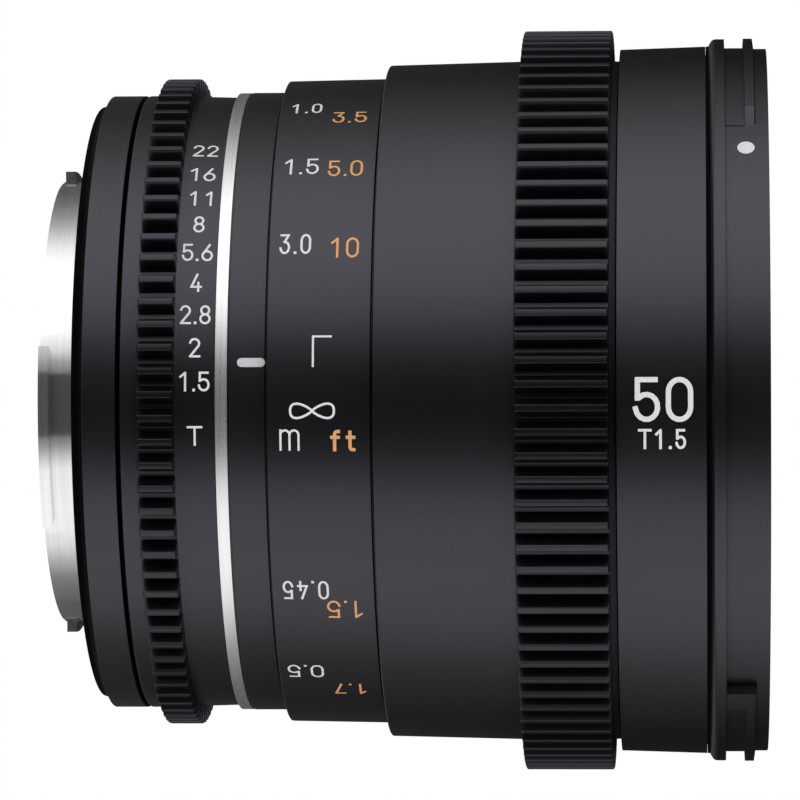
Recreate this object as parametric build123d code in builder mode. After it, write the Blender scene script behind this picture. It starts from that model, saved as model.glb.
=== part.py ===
from build123d import *
import os
from math import asin, atan2, copysign, cos, degrees, hypot, pi, radians, sin, sqrt, tan

os.makedirs("parts", exist_ok=True)

# A manual cinema prime lens of 50 mm focal length for a still camera's bayonet.
# Lengths are in millimetres. The optical axis is +X, towards the subject, +Z is up, and the
# origin is the centre of the face that seats on the camera.
# Angles about the axis are counted from +Y towards +Z, so the side of the scales is at 180.

# Running fits and other clearances
running_clearance = 0.08
sliding_clearance = 0.1
seat_clearance = 0.03
glass_clearance = 0.05
cement_gap = 0.02
turning_gap = 0.1
overrun = 1.0

# Stations along the outside, each ring's length counted forwards from the camera seat
rear_barrel_length = 5.2
iris_seam = 0.4
iris_ring_length = 9.6
trim_ring_length = 1.95
index_ring_length = 3.95
focus_seam = 0.3
scale_ring_length = 11.15
scale_groove = 0.25
focus_body_length = 26.5
front_barrel_length = 9.45
front_groove = 0.1
hood_ring_length = 6.65

iris_start = rear_barrel_length + iris_seam
iris_end = iris_start + iris_ring_length
trim_start = iris_end + turning_gap
trim_end = trim_start + trim_ring_length
index_end = trim_end + index_ring_length
focus_start = index_end + focus_seam
scale_end = focus_start + scale_ring_length
focus_body_start = scale_end + scale_groove
focus_end = focus_body_start + focus_body_length
front_start = focus_end + turning_gap
front_barrel_end = front_start + front_barrel_length
hood_start = front_barrel_end + front_groove
front_face = hood_start + hood_ring_length

# What the rings do
focus_turn = 137.0
focus_travel = 7.2
iris_open_turn = 3.4
iris_close_turn = 48.0
blade_turn = 34.0
iris_whole_turn = iris_open_turn + iris_close_turn
blade_rest_turn = blade_turn * iris_open_turn / iris_whole_turn
thread_lead = 360 * focus_travel / focus_turn

# Camera bayonet
seat_radius = 32.4
seat_thickness = 2.4
tube_radius = 25.2
tube_relief = 0.08
tube_length = 4.4
tube_pad_length = 2.05
throat_radius = 22.0
baffle_seat_radius = 22.6
baffle_seat_depth = 1.5
lug_radius = 26.4
lug_thickness = 1.15
near_lug_angle = 166.7
near_lug_arc = 45.0
top_lug_angle = 40.0
top_lug_arc = 52.0
bottom_lug_angle = 268.0
bottom_lug_arc = 62.0
pad_margin_arc = 3.6
mount_screw_circle_radius = 29.0
mount_screw_count = 4
mount_screw_angle = 20.0
lock_hole_radius = 1.7
lock_hole_depth = 1.5
lock_hole_angle = 155.0

# Screws
small_screw_radius = 1.0
small_head_radius = 1.9
small_head_height = 1.1
tiny_screw_radius = 0.7
tiny_head_radius = 1.3
tiny_head_height = 0.7
screw_bite = 2.4
recess_share = 0.6
recess_width = 0.35

# Main barrel, each bearing a step out from the one behind it
barrel_bore_radius = 31.8
barrel_wall = 1.2
trim_seat_step = 0.6
focus_bearing_step = 1.0
rear_flange_thickness = 3.0
nut_rib_length = 2.0

iris_bearing_radius = barrel_bore_radius + barrel_wall
trim_seat_radius = iris_bearing_radius + trim_seat_step
focus_bearing_radius = trim_seat_radius + focus_bearing_step

# Rear barrel
rim_setback = 0.15
rim_drop = 0.97
rim_length = 0.75
rim_chamfer = 0.8
rear_barrel_step = 1.97
seam_lip_drop = 1.4
housing_bore = 27.4
baffle_thickness = 1.0
baffle_gap = 0.3
baffle_lip = 0.5
barrel_screw_circle_radius = 30.2
barrel_screw_count = 4

rear_barrel_radius = iris_bearing_radius + rear_barrel_step
rim_radius = rear_barrel_radius - rim_drop
seam_lip_radius = rear_barrel_radius - seam_lip_drop

# Iris ring and its gear
gear_module = 0.8
pressure_angle = 20.0
dedendum_share = 1.25
iris_pitch_step = 1.03
iris_tooth_angle = 178.96
iris_gear_inset = 2.0
iris_gear_top_inset = 0.06
iris_gear_top_length = 3.78
iris_gear_foot_length = 0.06
iris_mid_drop = 0.05
iris_front_drop = 0.15

iris_rear_radius = rear_barrel_radius
iris_mid_radius = iris_rear_radius - iris_mid_drop
iris_front_radius = iris_mid_radius - iris_front_drop
iris_teeth = round(2 * (iris_rear_radius + iris_pitch_step) / gear_module)

# Trim ring and index ring
trim_rear_step = 1.0
trim_chamfer = 0.65
index_step = 1.63

trim_rear_radius = trim_seat_radius + trim_rear_step
index_radius = trim_seat_radius + index_step

# Focus ring, scale ring and gear
focus_tooth_angle = 181.21
tail_step = 0.85
scale_step = 1.0
scale_taper = 0.18
scale_chamfer = 0.6
scale_chamfer_drop = 0.7
focus_body_step = 3.6
focus_taper = 0.37
focus_chamfer = 0.25
focus_chamfer_drop = 0.75
focus_barrel_length = 15.18
gear_foot_step = 0.23
focus_pitch_step = 2.4
gear_draft = 0.55
focus_gear_length = 10.6
focus_neck_drop = 0.07

tail_radius = focus_bearing_radius + tail_step
scale_rear_radius = tail_radius + scale_step
scale_front_radius = scale_rear_radius + scale_taper
focus_rear_radius = focus_bearing_radius + focus_body_step
focus_front_radius = focus_rear_radius + focus_taper
focus_neck_radius = focus_front_radius - focus_neck_drop
gear_foot_radius = focus_front_radius + gear_foot_step
focus_teeth = round(2 * (gear_foot_radius + focus_pitch_step) / gear_module)

# Focus drive
drive_count = 2
drive_angle = 100.0
drive_offset = 5.5
bush_radius = 2.5
bush_sink = 0.55
bush_top_gap = 0.25
slot_end_angle = 0.4

# Helicoid
thread_starts = 4
nut_wall = 1.9
thread_depth = 0.8
thread_clearance = 0.1
thread_sink = 0.3
nut_inset = 2.7
nut_length = 20.0
retainer_length = 3.0
retainer_bore_step = 0.25
spanner_slot_count = 2
spanner_slot_width = 1.6
spanner_slot_depth = 1.2
fine_slot_depth = 0.5
sleeve_wall = 2.0
sleeve_thread_inset = 7.8
sleeve_thread_length = 30.0
sleeve_front_inset = 2.0
sleeve_flange_thickness = 2.0

thread_crest_radius = barrel_bore_radius - nut_wall
retainer_bore = thread_crest_radius + retainer_bore_step
sleeve_bore = thread_crest_radius - sleeve_wall

# Guide keys
guide_count = 2
guide_angle = 110.0
guide_width = 4.0
guide_tongue_thickness = 1.0
guide_foot_start = 11.5
guide_foot_length = 3.5
guide_reach = 20.0
key_screw_length = 3.4

# Iris fork
fork_width = 6.0
fork_thickness = 2.0
fork_inset = 3.4
fork_bar_thickness = 1.2
fork_bar_gap = 0.3
fork_pocket_depth = 0.95
fork_angle = 0.0
tine_margin = 0.5

# Front barrel and hood ring, each radius a step from the filter thread
filter_radius = 38.09
filter_depth = 4.5
thread_relief = 0.51
front_wall = 0.65
front_taper = 0.3
front_edge_chamfer = 0.2
front_web_thickness = 2.0
front_web_bore = 29.6
spigot_length = 2.3
spigot_wall = 0.6
front_screw_circle_radius = 33.2
front_screw_count = 4
front_screw_angle = 30.0
ridge_foot_step = 0.98
ridge_rise = 0.72
ridge_ramp = 0.95
ridge_top = 0.93
hood_step = 0.67
channel_rise = 0.1
channel_length = 2.15
hood_lug_rise = 1.11
hood_lug_length = 1.0
hood_lug_count = 2
hood_lug_angle = 51.4
hood_lug_arc = 80.4
hood_lug_ramp_arc = 2.8
hood_stop_arc = 4.4
hood_notch_arc = 1.0
hood_edge_chamfer = 0.15

front_bore = filter_radius + thread_relief
spigot_radius = front_bore + spigot_wall
front_rear_radius = spigot_radius + front_wall
front_front_radius = front_rear_radius + front_taper
ridge_foot_radius = spigot_radius + ridge_foot_step
ridge_radius = ridge_foot_radius + ridge_rise
hood_radius = spigot_radius + hood_step
channel_radius = hood_radius + channel_rise
hood_lug_radius = hood_radius + hood_lug_rise

# Optical block, counted from the front cell's flange
cell_radius = 25.5
cell_flange_radius = 28.6
cell_flange_thickness = 1.5
cell_tube_length = 25.5
cell_rear_wall = 1.3
cell_rear_bore = 15.5
cell_front_length = 2.8
cell_screw_circle_radius = 27.1
cell_screw_count = 3
cell_screw_bite = 1.8
shroud_hub_radius = 26.8
shroud_gap = 0.4
shroud_flange_thickness = 0.6
shroud_clearance = 0.59
shroud_wall = 1.2
shroud_skirt_length = 2.7
felt_inset = 0.45
felt_length = 1.5
felt_depth = 0.5
felt_clearance = 0.1
name_ring_bore = 22.4
name_ring_throat_radius = 24.4
name_ring_throat_depth = 2.5
name_ring_height = 1.3
name_ring_land = 0.8

shroud_radius = filter_radius - shroud_clearance

# Glass: radii of the faces, positive where a face bulges towards the front
glass_air_gap = 0.5
glass_1_front = 62.0
glass_1_rear = 300.0
glass_1_thickness = 6.0
glass_1_rim = 23.5
glass_2_front = 36.0
glass_2_rear = 70.0
glass_2_thickness = 6.0
glass_2_rim = 21.5
glass_3_front = 28.0
glass_3_rear = 120.0
glass_3_thickness = 6.5
glass_3_rim = 18.5
glass_4_rear = 18.5
glass_4_thickness = 1.8
glass_4_clear = 15.5
glass_5_front = -19.5
glass_5_thickness = 1.6
glass_5_rim = 14.5
glass_5_clear = 12.5
glass_5_rear = 90.0
glass_6_rear = -28.0
glass_6_thickness = 8.0
glass_7_front = 60.0
glass_7_rear = -40.0
glass_7_thickness = 6.5
glass_7_rim = 16.0
glass_8_rear = -90.0
glass_8_thickness = 1.6
glass_9_front = 45.0
glass_9_rear = -200.0
glass_9_thickness = 5.5
spacer_1_bore = 20.5
spacer_2_bore = 17.5
front_retainer_bore = 22.3
inner_retainer_bore = 12.6
inner_retainer_length = 1.25
rear_spacer_bore = 15.0

# Iris
housing_clearance = 1.8
housing_wall = 1.4
housing_floor = 1.0
housing_length = 6.0
iris_hole_radius = 15.0
floor_screw_count = 3
floor_screw_circle_radius = 20.0
floor_screw_angle = 30.0
floor_screw_bite = 2.2
blade_count = 9
blade_thickness = 0.1
blade_pitch = 0.17
blade_first_gap = 0.05
blade_pivot_inset = 2.2
blade_inner_radius = 14.6
blade_outer_radius = 21.1
blade_arc = 123.0
blade_root_arc = 3.0
blade_first_angle = 12.0
blade_neck_overlap = 0.6
blade_tab_radius = 1.0
blade_pin_radius = 0.4
blade_pin_clearance = 0.08
blade_pin_engagement = 0.8
blade_cam_distance = 3.3
blade_cam_tab_radius = 0.75
cam_ring_thickness = 1.25
cam_ring_gap = 0.19
cam_ring_bore = 15.9
tongue_width = 2.0
tongue_reach = 1.5
notch_margin_arc = 1.2

housing_radius = sleeve_bore - housing_clearance
housing_inner_radius = housing_radius - housing_wall
blade_pivot_circle_radius = housing_inner_radius - blade_pivot_inset

# Rear cell
rear_cell_radius = 17.6
rear_cell_length = 29.6
rear_flange_length = 1.5
rear_lip_radius = 22.5
rear_neck_wall = 1.3
rear_seat_bore = 13.5
rear_step_bore = 15.0
iris_screw_count = 3
iris_screw_angle = 70.0
iris_screw_bite = 2.0
fine_screw_radius = 0.35
fine_head_radius = 0.6
fine_head_height = 0.4

iris_screw_circle_radius = (housing_radius + housing_inner_radius) / 2

small_screw = (small_screw_radius, small_head_radius, small_head_height)
tiny_screw = (tiny_screw_radius, tiny_head_radius, tiny_head_height)
fine_screw = (fine_screw_radius, fine_head_radius, fine_head_height)


def turned(*outline, mode=Mode.ADD):
    """Adds to the open part what an outline of (place on the axis, radius) points sweeps about it."""
    with BuildSketch() as profile:
        with BuildLine():
            Polyline(*outline, close=True)
        make_face()
    revolve(profile.sketch, axis=Axis.X, mode=mode)


def tube(start, end, inner, outer, mode=Mode.ADD):
    """Adds to the open part a plain tube about the optical axis, or cuts one from it."""
    turned((start, inner), (end, inner), (end, outer), (start, outer), mode=mode)


def sector(inner, outer, start_angle, arc_angle, centre=0):
    """Adds to the open sketch a piece of a ring about a centre on its local X axis."""
    with BuildLine() as outline:
        inside = CenterArc((centre, 0), inner, start_angle, arc_angle)
        outside = CenterArc((centre, 0), outer, start_angle, arc_angle)
        Line(inside @ 0, outside @ 0)
        Line(inside @ 1, outside @ 1)
    make_face(outline.line)


def ring_sector(start, end, inner, outer, start_angle, arc_angle, mode=Mode.ADD):
    """Adds to the open part a piece of a tube about the optical axis, or cuts one from it."""
    with BuildSketch(Plane.YZ.offset(start)) as profile:
        sector(inner, outer, start_angle, arc_angle)
    extrude(profile.sketch, amount=end - start, mode=mode)


def bar(start, end, inner, outer, width, angles, mode=Mode.ADD):
    """Adds to the open part bars of one width, between two radii, along the axis at some angles."""
    with BuildSketch(Plane.YZ.offset(start)) as profile:
        for angle in angles:
            with PolarLocations((inner + outer) / 2, 1, start_angle=angle):
                Rectangle(2 * (outer - inner), width)
        Circle(outer, mode=Mode.INTERSECT)
        Circle(inner, mode=Mode.SUBTRACT)
    extrude(profile.sketch, amount=end - start, mode=mode)


def polar(radius, angle):
    """The two coordinates of a point at a radius and at an angle in degrees."""
    return radius * cos(radians(angle)), radius * sin(radians(angle))


def radial_plane(place, angle, radius):
    """The plane at a place on the axis whose normal points outwards at an angle."""
    return Plane(
        origin=(place, *polar(radius, angle)), x_dir=(1, 0, 0), z_dir=(0, *polar(1, angle))
    )


def axial_planes(place, circle, count, first_angle, facing):
    """Planes across the axis at the places of a circle, whose normals point along facing * X."""
    return [
        Plane(
            origin=(place, *polar(circle, angle)), x_dir=(0, *polar(1, angle)), z_dir=(facing, 0, 0)
        )
        for angle in angles_round(count, first_angle)
    ]


def angles_round(count, first_angle):
    """The angles of a number of places spread evenly about the axis."""
    return [first_angle + 360 / count * index for index in range(count)]


def half_angle(half_width, radius):
    """The angle that half a width takes up at a radius, in degrees."""
    return degrees(asin(half_width / radius))


def cone_and_shank(plane, kind, length, clearance, mode):
    """Adds or cuts a countersunk screw's shape, whose head lies in a plane and which goes in."""
    shank_radius, head_radius, head_height = kind
    with BuildSketch(plane) as top:
        Circle(head_radius + clearance)
    with BuildSketch(plane.offset(-head_height)) as neck:
        Circle(shank_radius + clearance)
    loft([top.sketch.face(), neck.sketch.face()], ruled=True, mode=mode)
    extrude(neck.sketch, amount=head_height - length - clearance, mode=mode)


def screws(planes, kind, length):
    """Adds to the open part countersunk screws with cross recesses, a little below their planes."""
    shank_radius, head_radius, head_height = kind
    slot = 2 * recess_share * head_radius
    for plane in planes:
        sunk = plane.offset(-seat_clearance)
        cone_and_shank(sunk, kind, length - seat_clearance, 0, Mode.ADD)
        with BuildSketch(sunk) as cross:
            Rectangle(slot, recess_width)
            Rectangle(recess_width, slot)
        extrude(cross.sketch, amount=-recess_share * head_height, mode=Mode.SUBTRACT)


def screw_holes(planes, kind, length):
    """Cuts the countersunk holes of such screws, through every piece that they go into."""
    for plane in planes:
        cone_and_shank(plane, kind, length, seat_clearance, Mode.SUBTRACT)


def tooth_gaps(start, end, teeth, first_tooth_angle):
    """Cuts the straight-sided gaps between a gear's teeth from the open part."""
    pitch_radius = gear_module * teeth / 2
    root = pitch_radius - dedendum_share * gear_module
    top = pitch_radius + gear_module + overrun
    half_gap = pi * gear_module / 4
    slope = tan(radians(pressure_angle))
    root_half = half_gap - (pitch_radius - root) * slope
    top_half = half_gap + (top - pitch_radius) * slope
    with BuildSketch(Plane.YZ.offset(start)) as gaps:
        with PolarLocations(0, teeth, start_angle=first_tooth_angle + 180 / teeth):
            Polygon(
                (root, -root_half), (top, -top_half), (top, top_half), (root, root_half), align=None
            )
    extrude(gaps.sketch, amount=end - start, mode=Mode.SUBTRACT)


def helicoid_ridge(start, end, inner, outer):
    """One ridge of a thread with several starts, which a positive turn of the nut drives forwards."""
    half_ridge = thread_lead / thread_starts / 4 - thread_clearance / 2
    centre = start + half_ridge
    with BuildPart() as ridge:
        with BuildLine():
            Helix(
                thread_lead,
                end - start - 2 * half_ridge,
                inner,
                center=(centre, 0, 0),
                direction=(1, 0, 0),
                lefthand=True,
            )
        with BuildSketch(Plane.XZ):
            with Locations((centre, (inner + outer) / 2)):
                Rectangle(2 * half_ridge, outer - inner)
        sweep(is_frenet=True)
    return ridge.part.rotate(Axis.X, -360 * centre / thread_lead)


def sag(radius, height):
    """How far a spherical face lies behind its vertex at a height, for a signed radius."""
    return radius - copysign(sqrt(radius**2 - height**2), radius)


def glass(front, front_radius, rear, rear_radius, rim, front_clear=None, rear_clear=None):
    """Adds to the open part a glass element: two spherical faces and a ground edge.

    A clear radius smaller than the rim leaves a flat ring around that face.
    """
    front_clear = front_clear or rim
    rear_clear = rear_clear or rim
    front_edge = front - sag(front_radius, front_clear)
    rear_edge = rear - sag(rear_radius, rear_clear)
    front_middle = (front - sag(front_radius, front_clear / 2), front_clear / 2)
    rear_middle = (rear - sag(rear_radius, rear_clear / 2), rear_clear / 2)
    corners = [
        (front_edge, front_clear),
        (front_edge, rim),
        (rear_edge, rim),
        (rear_edge, rear_clear),
    ]
    with BuildSketch() as profile:
        with BuildLine():
            ThreePointArc((front, 0), front_middle, (front_edge, front_clear))
            Polyline(*dict.fromkeys(corners))
            ThreePointArc((rear_edge, rear_clear), rear_middle, (rear, 0))
            Line((rear, 0), (front, 0))
        make_face()
    revolve(profile.sketch, axis=Axis.X)


# Bayonet mount: seat plate, tube and three lugs, with a pad round each lug
lugs = [
    (near_lug_angle, near_lug_arc),
    (top_lug_angle, top_lug_arc),
    (bottom_lug_angle, bottom_lug_arc),
]
pad_end = -tube_length + tube_pad_length
baffle_front = -tube_length + baffle_seat_depth
mount_screw_planes = axial_planes(0, mount_screw_circle_radius, mount_screw_count, mount_screw_angle, -1)
mount_screw_length = seat_thickness + screw_bite
with BuildPart() as bayonet_mount:
    tube(0, seat_thickness, throat_radius, seat_radius)
    tube(pad_end, 0, throat_radius, tube_radius)
    tube(-tube_length, pad_end, throat_radius, tube_radius - tube_relief)
    for lug_angle, lug_arc in lugs:
        pad_angle = lug_angle - pad_margin_arc
        pad_arc = lug_arc + 2 * pad_margin_arc
        ring_sector(-tube_length, pad_end, throat_radius, tube_radius, pad_angle, pad_arc)
    for lug_angle, lug_arc in lugs:
        lug_end = -tube_length + lug_thickness
        ring_sector(-tube_length, lug_end, throat_radius, lug_radius, lug_angle, lug_arc)
    with BuildSketch(Plane.YZ.offset(-tube_length)):
        Circle(baffle_seat_radius)
    extrude(amount=baffle_seat_depth, mode=Mode.SUBTRACT)
    screw_holes(mount_screw_planes, small_screw, mount_screw_length)
    for plane in axial_planes(0, mount_screw_circle_radius, 1, lock_hole_angle, -1):
        with BuildSketch(plane):
            Circle(lock_hole_radius)
        extrude(amount=-lock_hole_depth, mode=Mode.SUBTRACT)
bayonet_mount.part.label = "bayonet_mount"
export_step(bayonet_mount.part, "parts/bayonet_mount.step")

with BuildPart() as mount_screws:
    screws(mount_screw_planes, small_screw, mount_screw_length)
mount_screws.part.label = "mount_screws"
export_step(mount_screws.part, "parts/mount_screws.step")

# Rear baffle: a thin ring that masks the gap between the bayonet tube and the rear cell
with BuildPart() as rear_baffle:
    baffle_bore = rear_cell_radius + baffle_gap
    baffle_rim = baffle_seat_radius - seat_clearance
    turned(
        (baffle_front - baffle_thickness, baffle_bore + baffle_lip),
        (baffle_front - baffle_thickness + baffle_lip, baffle_bore),
        (baffle_front, baffle_bore),
        (baffle_front, baffle_rim),
        (baffle_front - baffle_thickness, baffle_rim),
    )
rear_baffle.part.label = "rear_baffle"
export_step(rear_baffle.part, "parts/rear_baffle.step")

# Mount housing: the black rear barrel, which holds the bayonet in a recess of its rear face
barrel_screw_angle = mount_screw_angle + 180 / mount_screw_count
barrel_screw_planes = axial_planes(
    seat_thickness, barrel_screw_circle_radius, barrel_screw_count, barrel_screw_angle, -1
)
barrel_screw_length = rear_barrel_length - seat_thickness + screw_bite
recess_radius = seat_radius + seat_clearance
lip_bore = iris_bearing_radius + seat_clearance
lip_end = iris_start - turning_gap
with BuildPart() as mount_housing:
    turned(
        (rim_setback, recess_radius),
        (rim_setback, rim_radius),
        (rim_setback + rim_length, rim_radius),
        (rim_setback + rim_length + rim_chamfer, rear_barrel_radius),
        (rear_barrel_length, rear_barrel_radius),
        (rear_barrel_length, seam_lip_radius),
        (lip_end, seam_lip_radius),
        (lip_end, lip_bore),
        (rear_barrel_length, lip_bore),
        (rear_barrel_length, housing_bore),
        (seat_thickness, housing_bore),
        (seat_thickness, recess_radius),
    )
    screw_holes(mount_screw_planes, small_screw, mount_screw_length)
    screw_holes(barrel_screw_planes, small_screw, barrel_screw_length)
mount_housing.part.label = "mount_housing"
export_step(mount_housing.part, "parts/mount_housing.step")

with BuildPart() as barrel_screws:
    screws(barrel_screw_planes, small_screw, barrel_screw_length)
barrel_screws.part.label = "barrel_screws"
export_step(barrel_screws.part, "parts/barrel_screws.step")

# Main barrel: the fixed tube that everything else is carried by
flange_end = rear_barrel_length + rear_flange_thickness
nut_start = focus_start + nut_inset
nut_end = nut_start + nut_length
rib_end = nut_start - turning_gap
bush_place = focus_start + drive_offset
drive_slot_half = bush_radius + running_clearance
drive_end_angle = half_angle(drive_slot_half, barrel_bore_radius) + slot_end_angle
drive_angles = angles_round(drive_count, drive_angle)
fork_rear = iris_start + fork_inset
fork_front = fork_rear + fork_thickness
fork_end_angle = half_angle(fork_width / 2, barrel_bore_radius) + slot_end_angle
guide_foot_end = guide_foot_start + guide_foot_length
guide_angles = angles_round(guide_count, guide_angle)
key_screw_planes = [
    radial_plane(
        (guide_foot_start + guide_foot_end) / 2, angle, iris_bearing_radius - sliding_clearance
    )
    for angle in guide_angles
]
front_screw_planes = axial_planes(
    front_start + front_web_thickness, front_screw_circle_radius, front_screw_count, front_screw_angle, 1
)
front_screw_length = front_web_thickness + screw_bite
with BuildPart() as main_barrel:
    turned(
        (rear_barrel_length, housing_bore),
        (rear_barrel_length, iris_bearing_radius),
        (trim_start, iris_bearing_radius),
        (trim_start, trim_seat_radius),
        (index_end, trim_seat_radius),
        (index_end, focus_bearing_radius),
        (front_start, focus_bearing_radius),
        (front_start, barrel_bore_radius),
        (rib_end, barrel_bore_radius),
        (rib_end, retainer_bore),
        (rib_end - nut_rib_length, retainer_bore),
        (rib_end - nut_rib_length, barrel_bore_radius),
        (flange_end, barrel_bore_radius),
        (flange_end, housing_bore),
    )
    for angle in drive_angles:
        ring_sector(
            bush_place - drive_slot_half,
            bush_place + drive_slot_half,
            barrel_bore_radius - overrun,
            focus_bearing_radius + overrun,
            angle - drive_end_angle,
            focus_turn + 2 * drive_end_angle,
            mode=Mode.SUBTRACT,
        )
    ring_sector(
        fork_rear - sliding_clearance,
        fork_front + sliding_clearance,
        barrel_bore_radius - overrun,
        iris_bearing_radius + overrun,
        fork_angle - iris_open_turn - fork_end_angle,
        iris_whole_turn + 2 * fork_end_angle,
        mode=Mode.SUBTRACT,
    )
    screw_holes(barrel_screw_planes, small_screw, barrel_screw_length)
    screw_holes(key_screw_planes, tiny_screw, key_screw_length)
    screw_holes(front_screw_planes, small_screw, front_screw_length)
main_barrel.part.label = "main_barrel"
export_step(main_barrel.part, "parts/main_barrel.step")

# Trim ring and index ring, pushed onto the barrel in front of the iris ring
trim_bore = trim_seat_radius + seat_clearance
with BuildPart() as trim_ring:
    turned(
        (trim_start, trim_bore),
        (trim_start, trim_rear_radius),
        (trim_start + trim_chamfer, index_radius),
        (trim_end, index_radius),
        (trim_end, trim_bore),
    )
trim_ring.part.label = "trim_ring"
export_step(trim_ring.part, "parts/trim_ring.step")

with BuildPart() as index_ring:
    tube(trim_end, index_end, trim_bore, index_radius)
index_ring.part.label = "index_ring"
export_step(index_ring.part, "parts/index_ring.step")

# Guide keys: each has a foot screwed to the barrel and a tongue in a slot of the sleeve
guide_inner = sleeve_bore + sliding_clearance
guide_outer = barrel_bore_radius - seat_clearance
guide_tongue_outer = guide_inner + guide_tongue_thickness
guide_end = guide_foot_start + guide_reach
with BuildPart() as guide_keys:
    bar(guide_foot_start, guide_foot_end, guide_inner, guide_outer, guide_width, guide_angles)
    bar(guide_foot_start, guide_end, guide_inner, guide_tongue_outer, guide_width, guide_angles)
    screw_holes(key_screw_planes, tiny_screw, key_screw_length)
guide_keys.part.label = "guide_keys"
export_step(guide_keys.part, "parts/guide_keys.step")

with BuildPart() as key_screws:
    screws(key_screw_planes, tiny_screw, key_screw_length)
key_screws.part.label = "key_screws"
export_step(key_screws.part, "parts/key_screws.step")

# Helicoid retainer: the ring in front of the nut, with two slots for its spanner
retainer_start = nut_end + turning_gap
retainer_end = retainer_start + retainer_length
with BuildPart() as helicoid_retainer:
    tube(retainer_start, retainer_end, retainer_bore, barrel_bore_radius - seat_clearance)
    bar(
        retainer_end - spanner_slot_depth,
        retainer_end,
        retainer_bore - overrun,
        barrel_bore_radius,
        spanner_slot_width,
        angles_round(spanner_slot_count, 0),
        mode=Mode.SUBTRACT,
    )
helicoid_retainer.part.label = "helicoid_retainer"
export_step(helicoid_retainer.part, "parts/helicoid_retainer.step")

# Front barrel: the fixed ring in front of the focus ring, screwed to the main barrel's end
web_front = front_start + front_web_thickness
counterbore_start = front_barrel_end - spigot_length
with BuildPart() as front_barrel:
    turned(
        (front_start, front_web_bore),
        (front_start, front_rear_radius - front_edge_chamfer),
        (front_start + front_edge_chamfer, front_rear_radius),
        (front_barrel_end - front_edge_chamfer, front_front_radius),
        (front_barrel_end, front_front_radius - front_edge_chamfer),
        (front_barrel_end, spigot_radius + seat_clearance),
        (counterbore_start, spigot_radius + seat_clearance),
        (counterbore_start, front_bore),
        (web_front, front_bore),
        (web_front, front_web_bore),
    )
    screw_holes(front_screw_planes, small_screw, front_screw_length)
front_barrel.part.label = "front_barrel"
export_step(front_barrel.part, "parts/front_barrel.step")

with BuildPart() as front_barrel_screws:
    screws(front_screw_planes, small_screw, front_screw_length)
front_barrel_screws.part.label = "front_barrel_screws"
export_step(front_barrel_screws.part, "parts/front_barrel_screws.step")

# Hood ring: the ridge, channel and two lugs that a lens hood turns onto, over the filter thread
ridge_front = hood_start + ridge_ramp + ridge_top
channel_end = ridge_front + channel_length
hood_lug_end = channel_end + hood_lug_length
filter_start = front_face - filter_depth
hood_wall = (hood_radius + filter_radius) / 2
with BuildPart() as hood_ring:
    turned(
        (counterbore_start + seat_clearance, front_bore),
        (counterbore_start + seat_clearance, spigot_radius),
        (hood_start, spigot_radius),
        (hood_start, ridge_foot_radius),
        (hood_start + ridge_ramp, ridge_radius),
        (ridge_front, ridge_radius),
        (ridge_front, hood_radius),
        (front_face - hood_edge_chamfer, hood_radius),
        (front_face, hood_radius - hood_edge_chamfer),
        (front_face, filter_radius),
        (filter_start, filter_radius),
        (filter_start, front_bore),
    )
    for lug_start in angles_round(hood_lug_count, hood_lug_angle):
        flat_end = hood_lug_arc - hood_lug_ramp_arc
        ring_sector(ridge_front, channel_end, hood_wall, channel_radius, lug_start, hood_lug_arc)
        ring_sector(channel_end, hood_lug_end, hood_wall, hood_lug_radius, lug_start, flat_end)
        ring_sector(ridge_front, hood_lug_end, hood_wall, hood_lug_radius, lug_start, hood_stop_arc)
        ramp_corners = [
            (hood_wall, flat_end),
            (hood_lug_radius, flat_end),
            (hood_radius, hood_lug_arc),
            (hood_wall, hood_lug_arc),
        ]
        with BuildSketch(Plane.YZ.offset(channel_end)):
            with BuildLine():
                Polyline(*(polar(radius, lug_start + angle) for radius, angle in ramp_corners), close=True)
            make_face()
        extrude(amount=hood_lug_length)
        ring_sector(
            ridge_front + sliding_clearance,
            hood_lug_end + sliding_clearance,
            spigot_radius,
            hood_lug_radius + overrun,
            lug_start - hood_notch_arc,
            hood_notch_arc,
            mode=Mode.SUBTRACT,
        )
hood_ring.part.label = "hood_ring"
export_step(hood_ring.part, "parts/hood_ring.step")

# Focus ring: a tail under the scale ring, the wide body and the gear
focus_bore = focus_bearing_radius + running_clearance
gear_start = focus_body_start + focus_barrel_length
gear_end = gear_start + focus_gear_length
focus_gear_top = gear_module * (focus_teeth / 2 + 1)
bush_top = tail_radius + seat_clearance - bush_top_gap
drive_planes = [radial_plane(bush_place, angle, bush_top) for angle in drive_angles]
with BuildPart() as focus_ring:
    turned(
        (focus_start, focus_bore),
        (focus_start, tail_radius),
        (focus_body_start, tail_radius),
        (focus_body_start, focus_rear_radius - focus_chamfer_drop),
        (focus_body_start + focus_chamfer, focus_rear_radius),
        (gear_start, focus_front_radius),
        (gear_start, gear_foot_radius),
        (gear_start + gear_draft, focus_gear_top),
        (gear_end - gear_draft, focus_gear_top),
        (gear_end, gear_foot_radius),
        (gear_end, focus_neck_radius),
        (focus_end, focus_neck_radius),
        (focus_end, focus_bore),
    )
    tooth_gaps(focus_start, focus_end, focus_teeth, focus_tooth_angle)
    for plane in drive_planes:
        with BuildSketch(plane.offset(overrun)):
            Circle(bush_radius + seat_clearance)
        extrude(amount=-overrun - bush_top + focus_bore - overrun, mode=Mode.SUBTRACT)
focus_ring.part.label = "focus_ring"
export_step(focus_ring.part, "parts/focus_ring.step")

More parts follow.
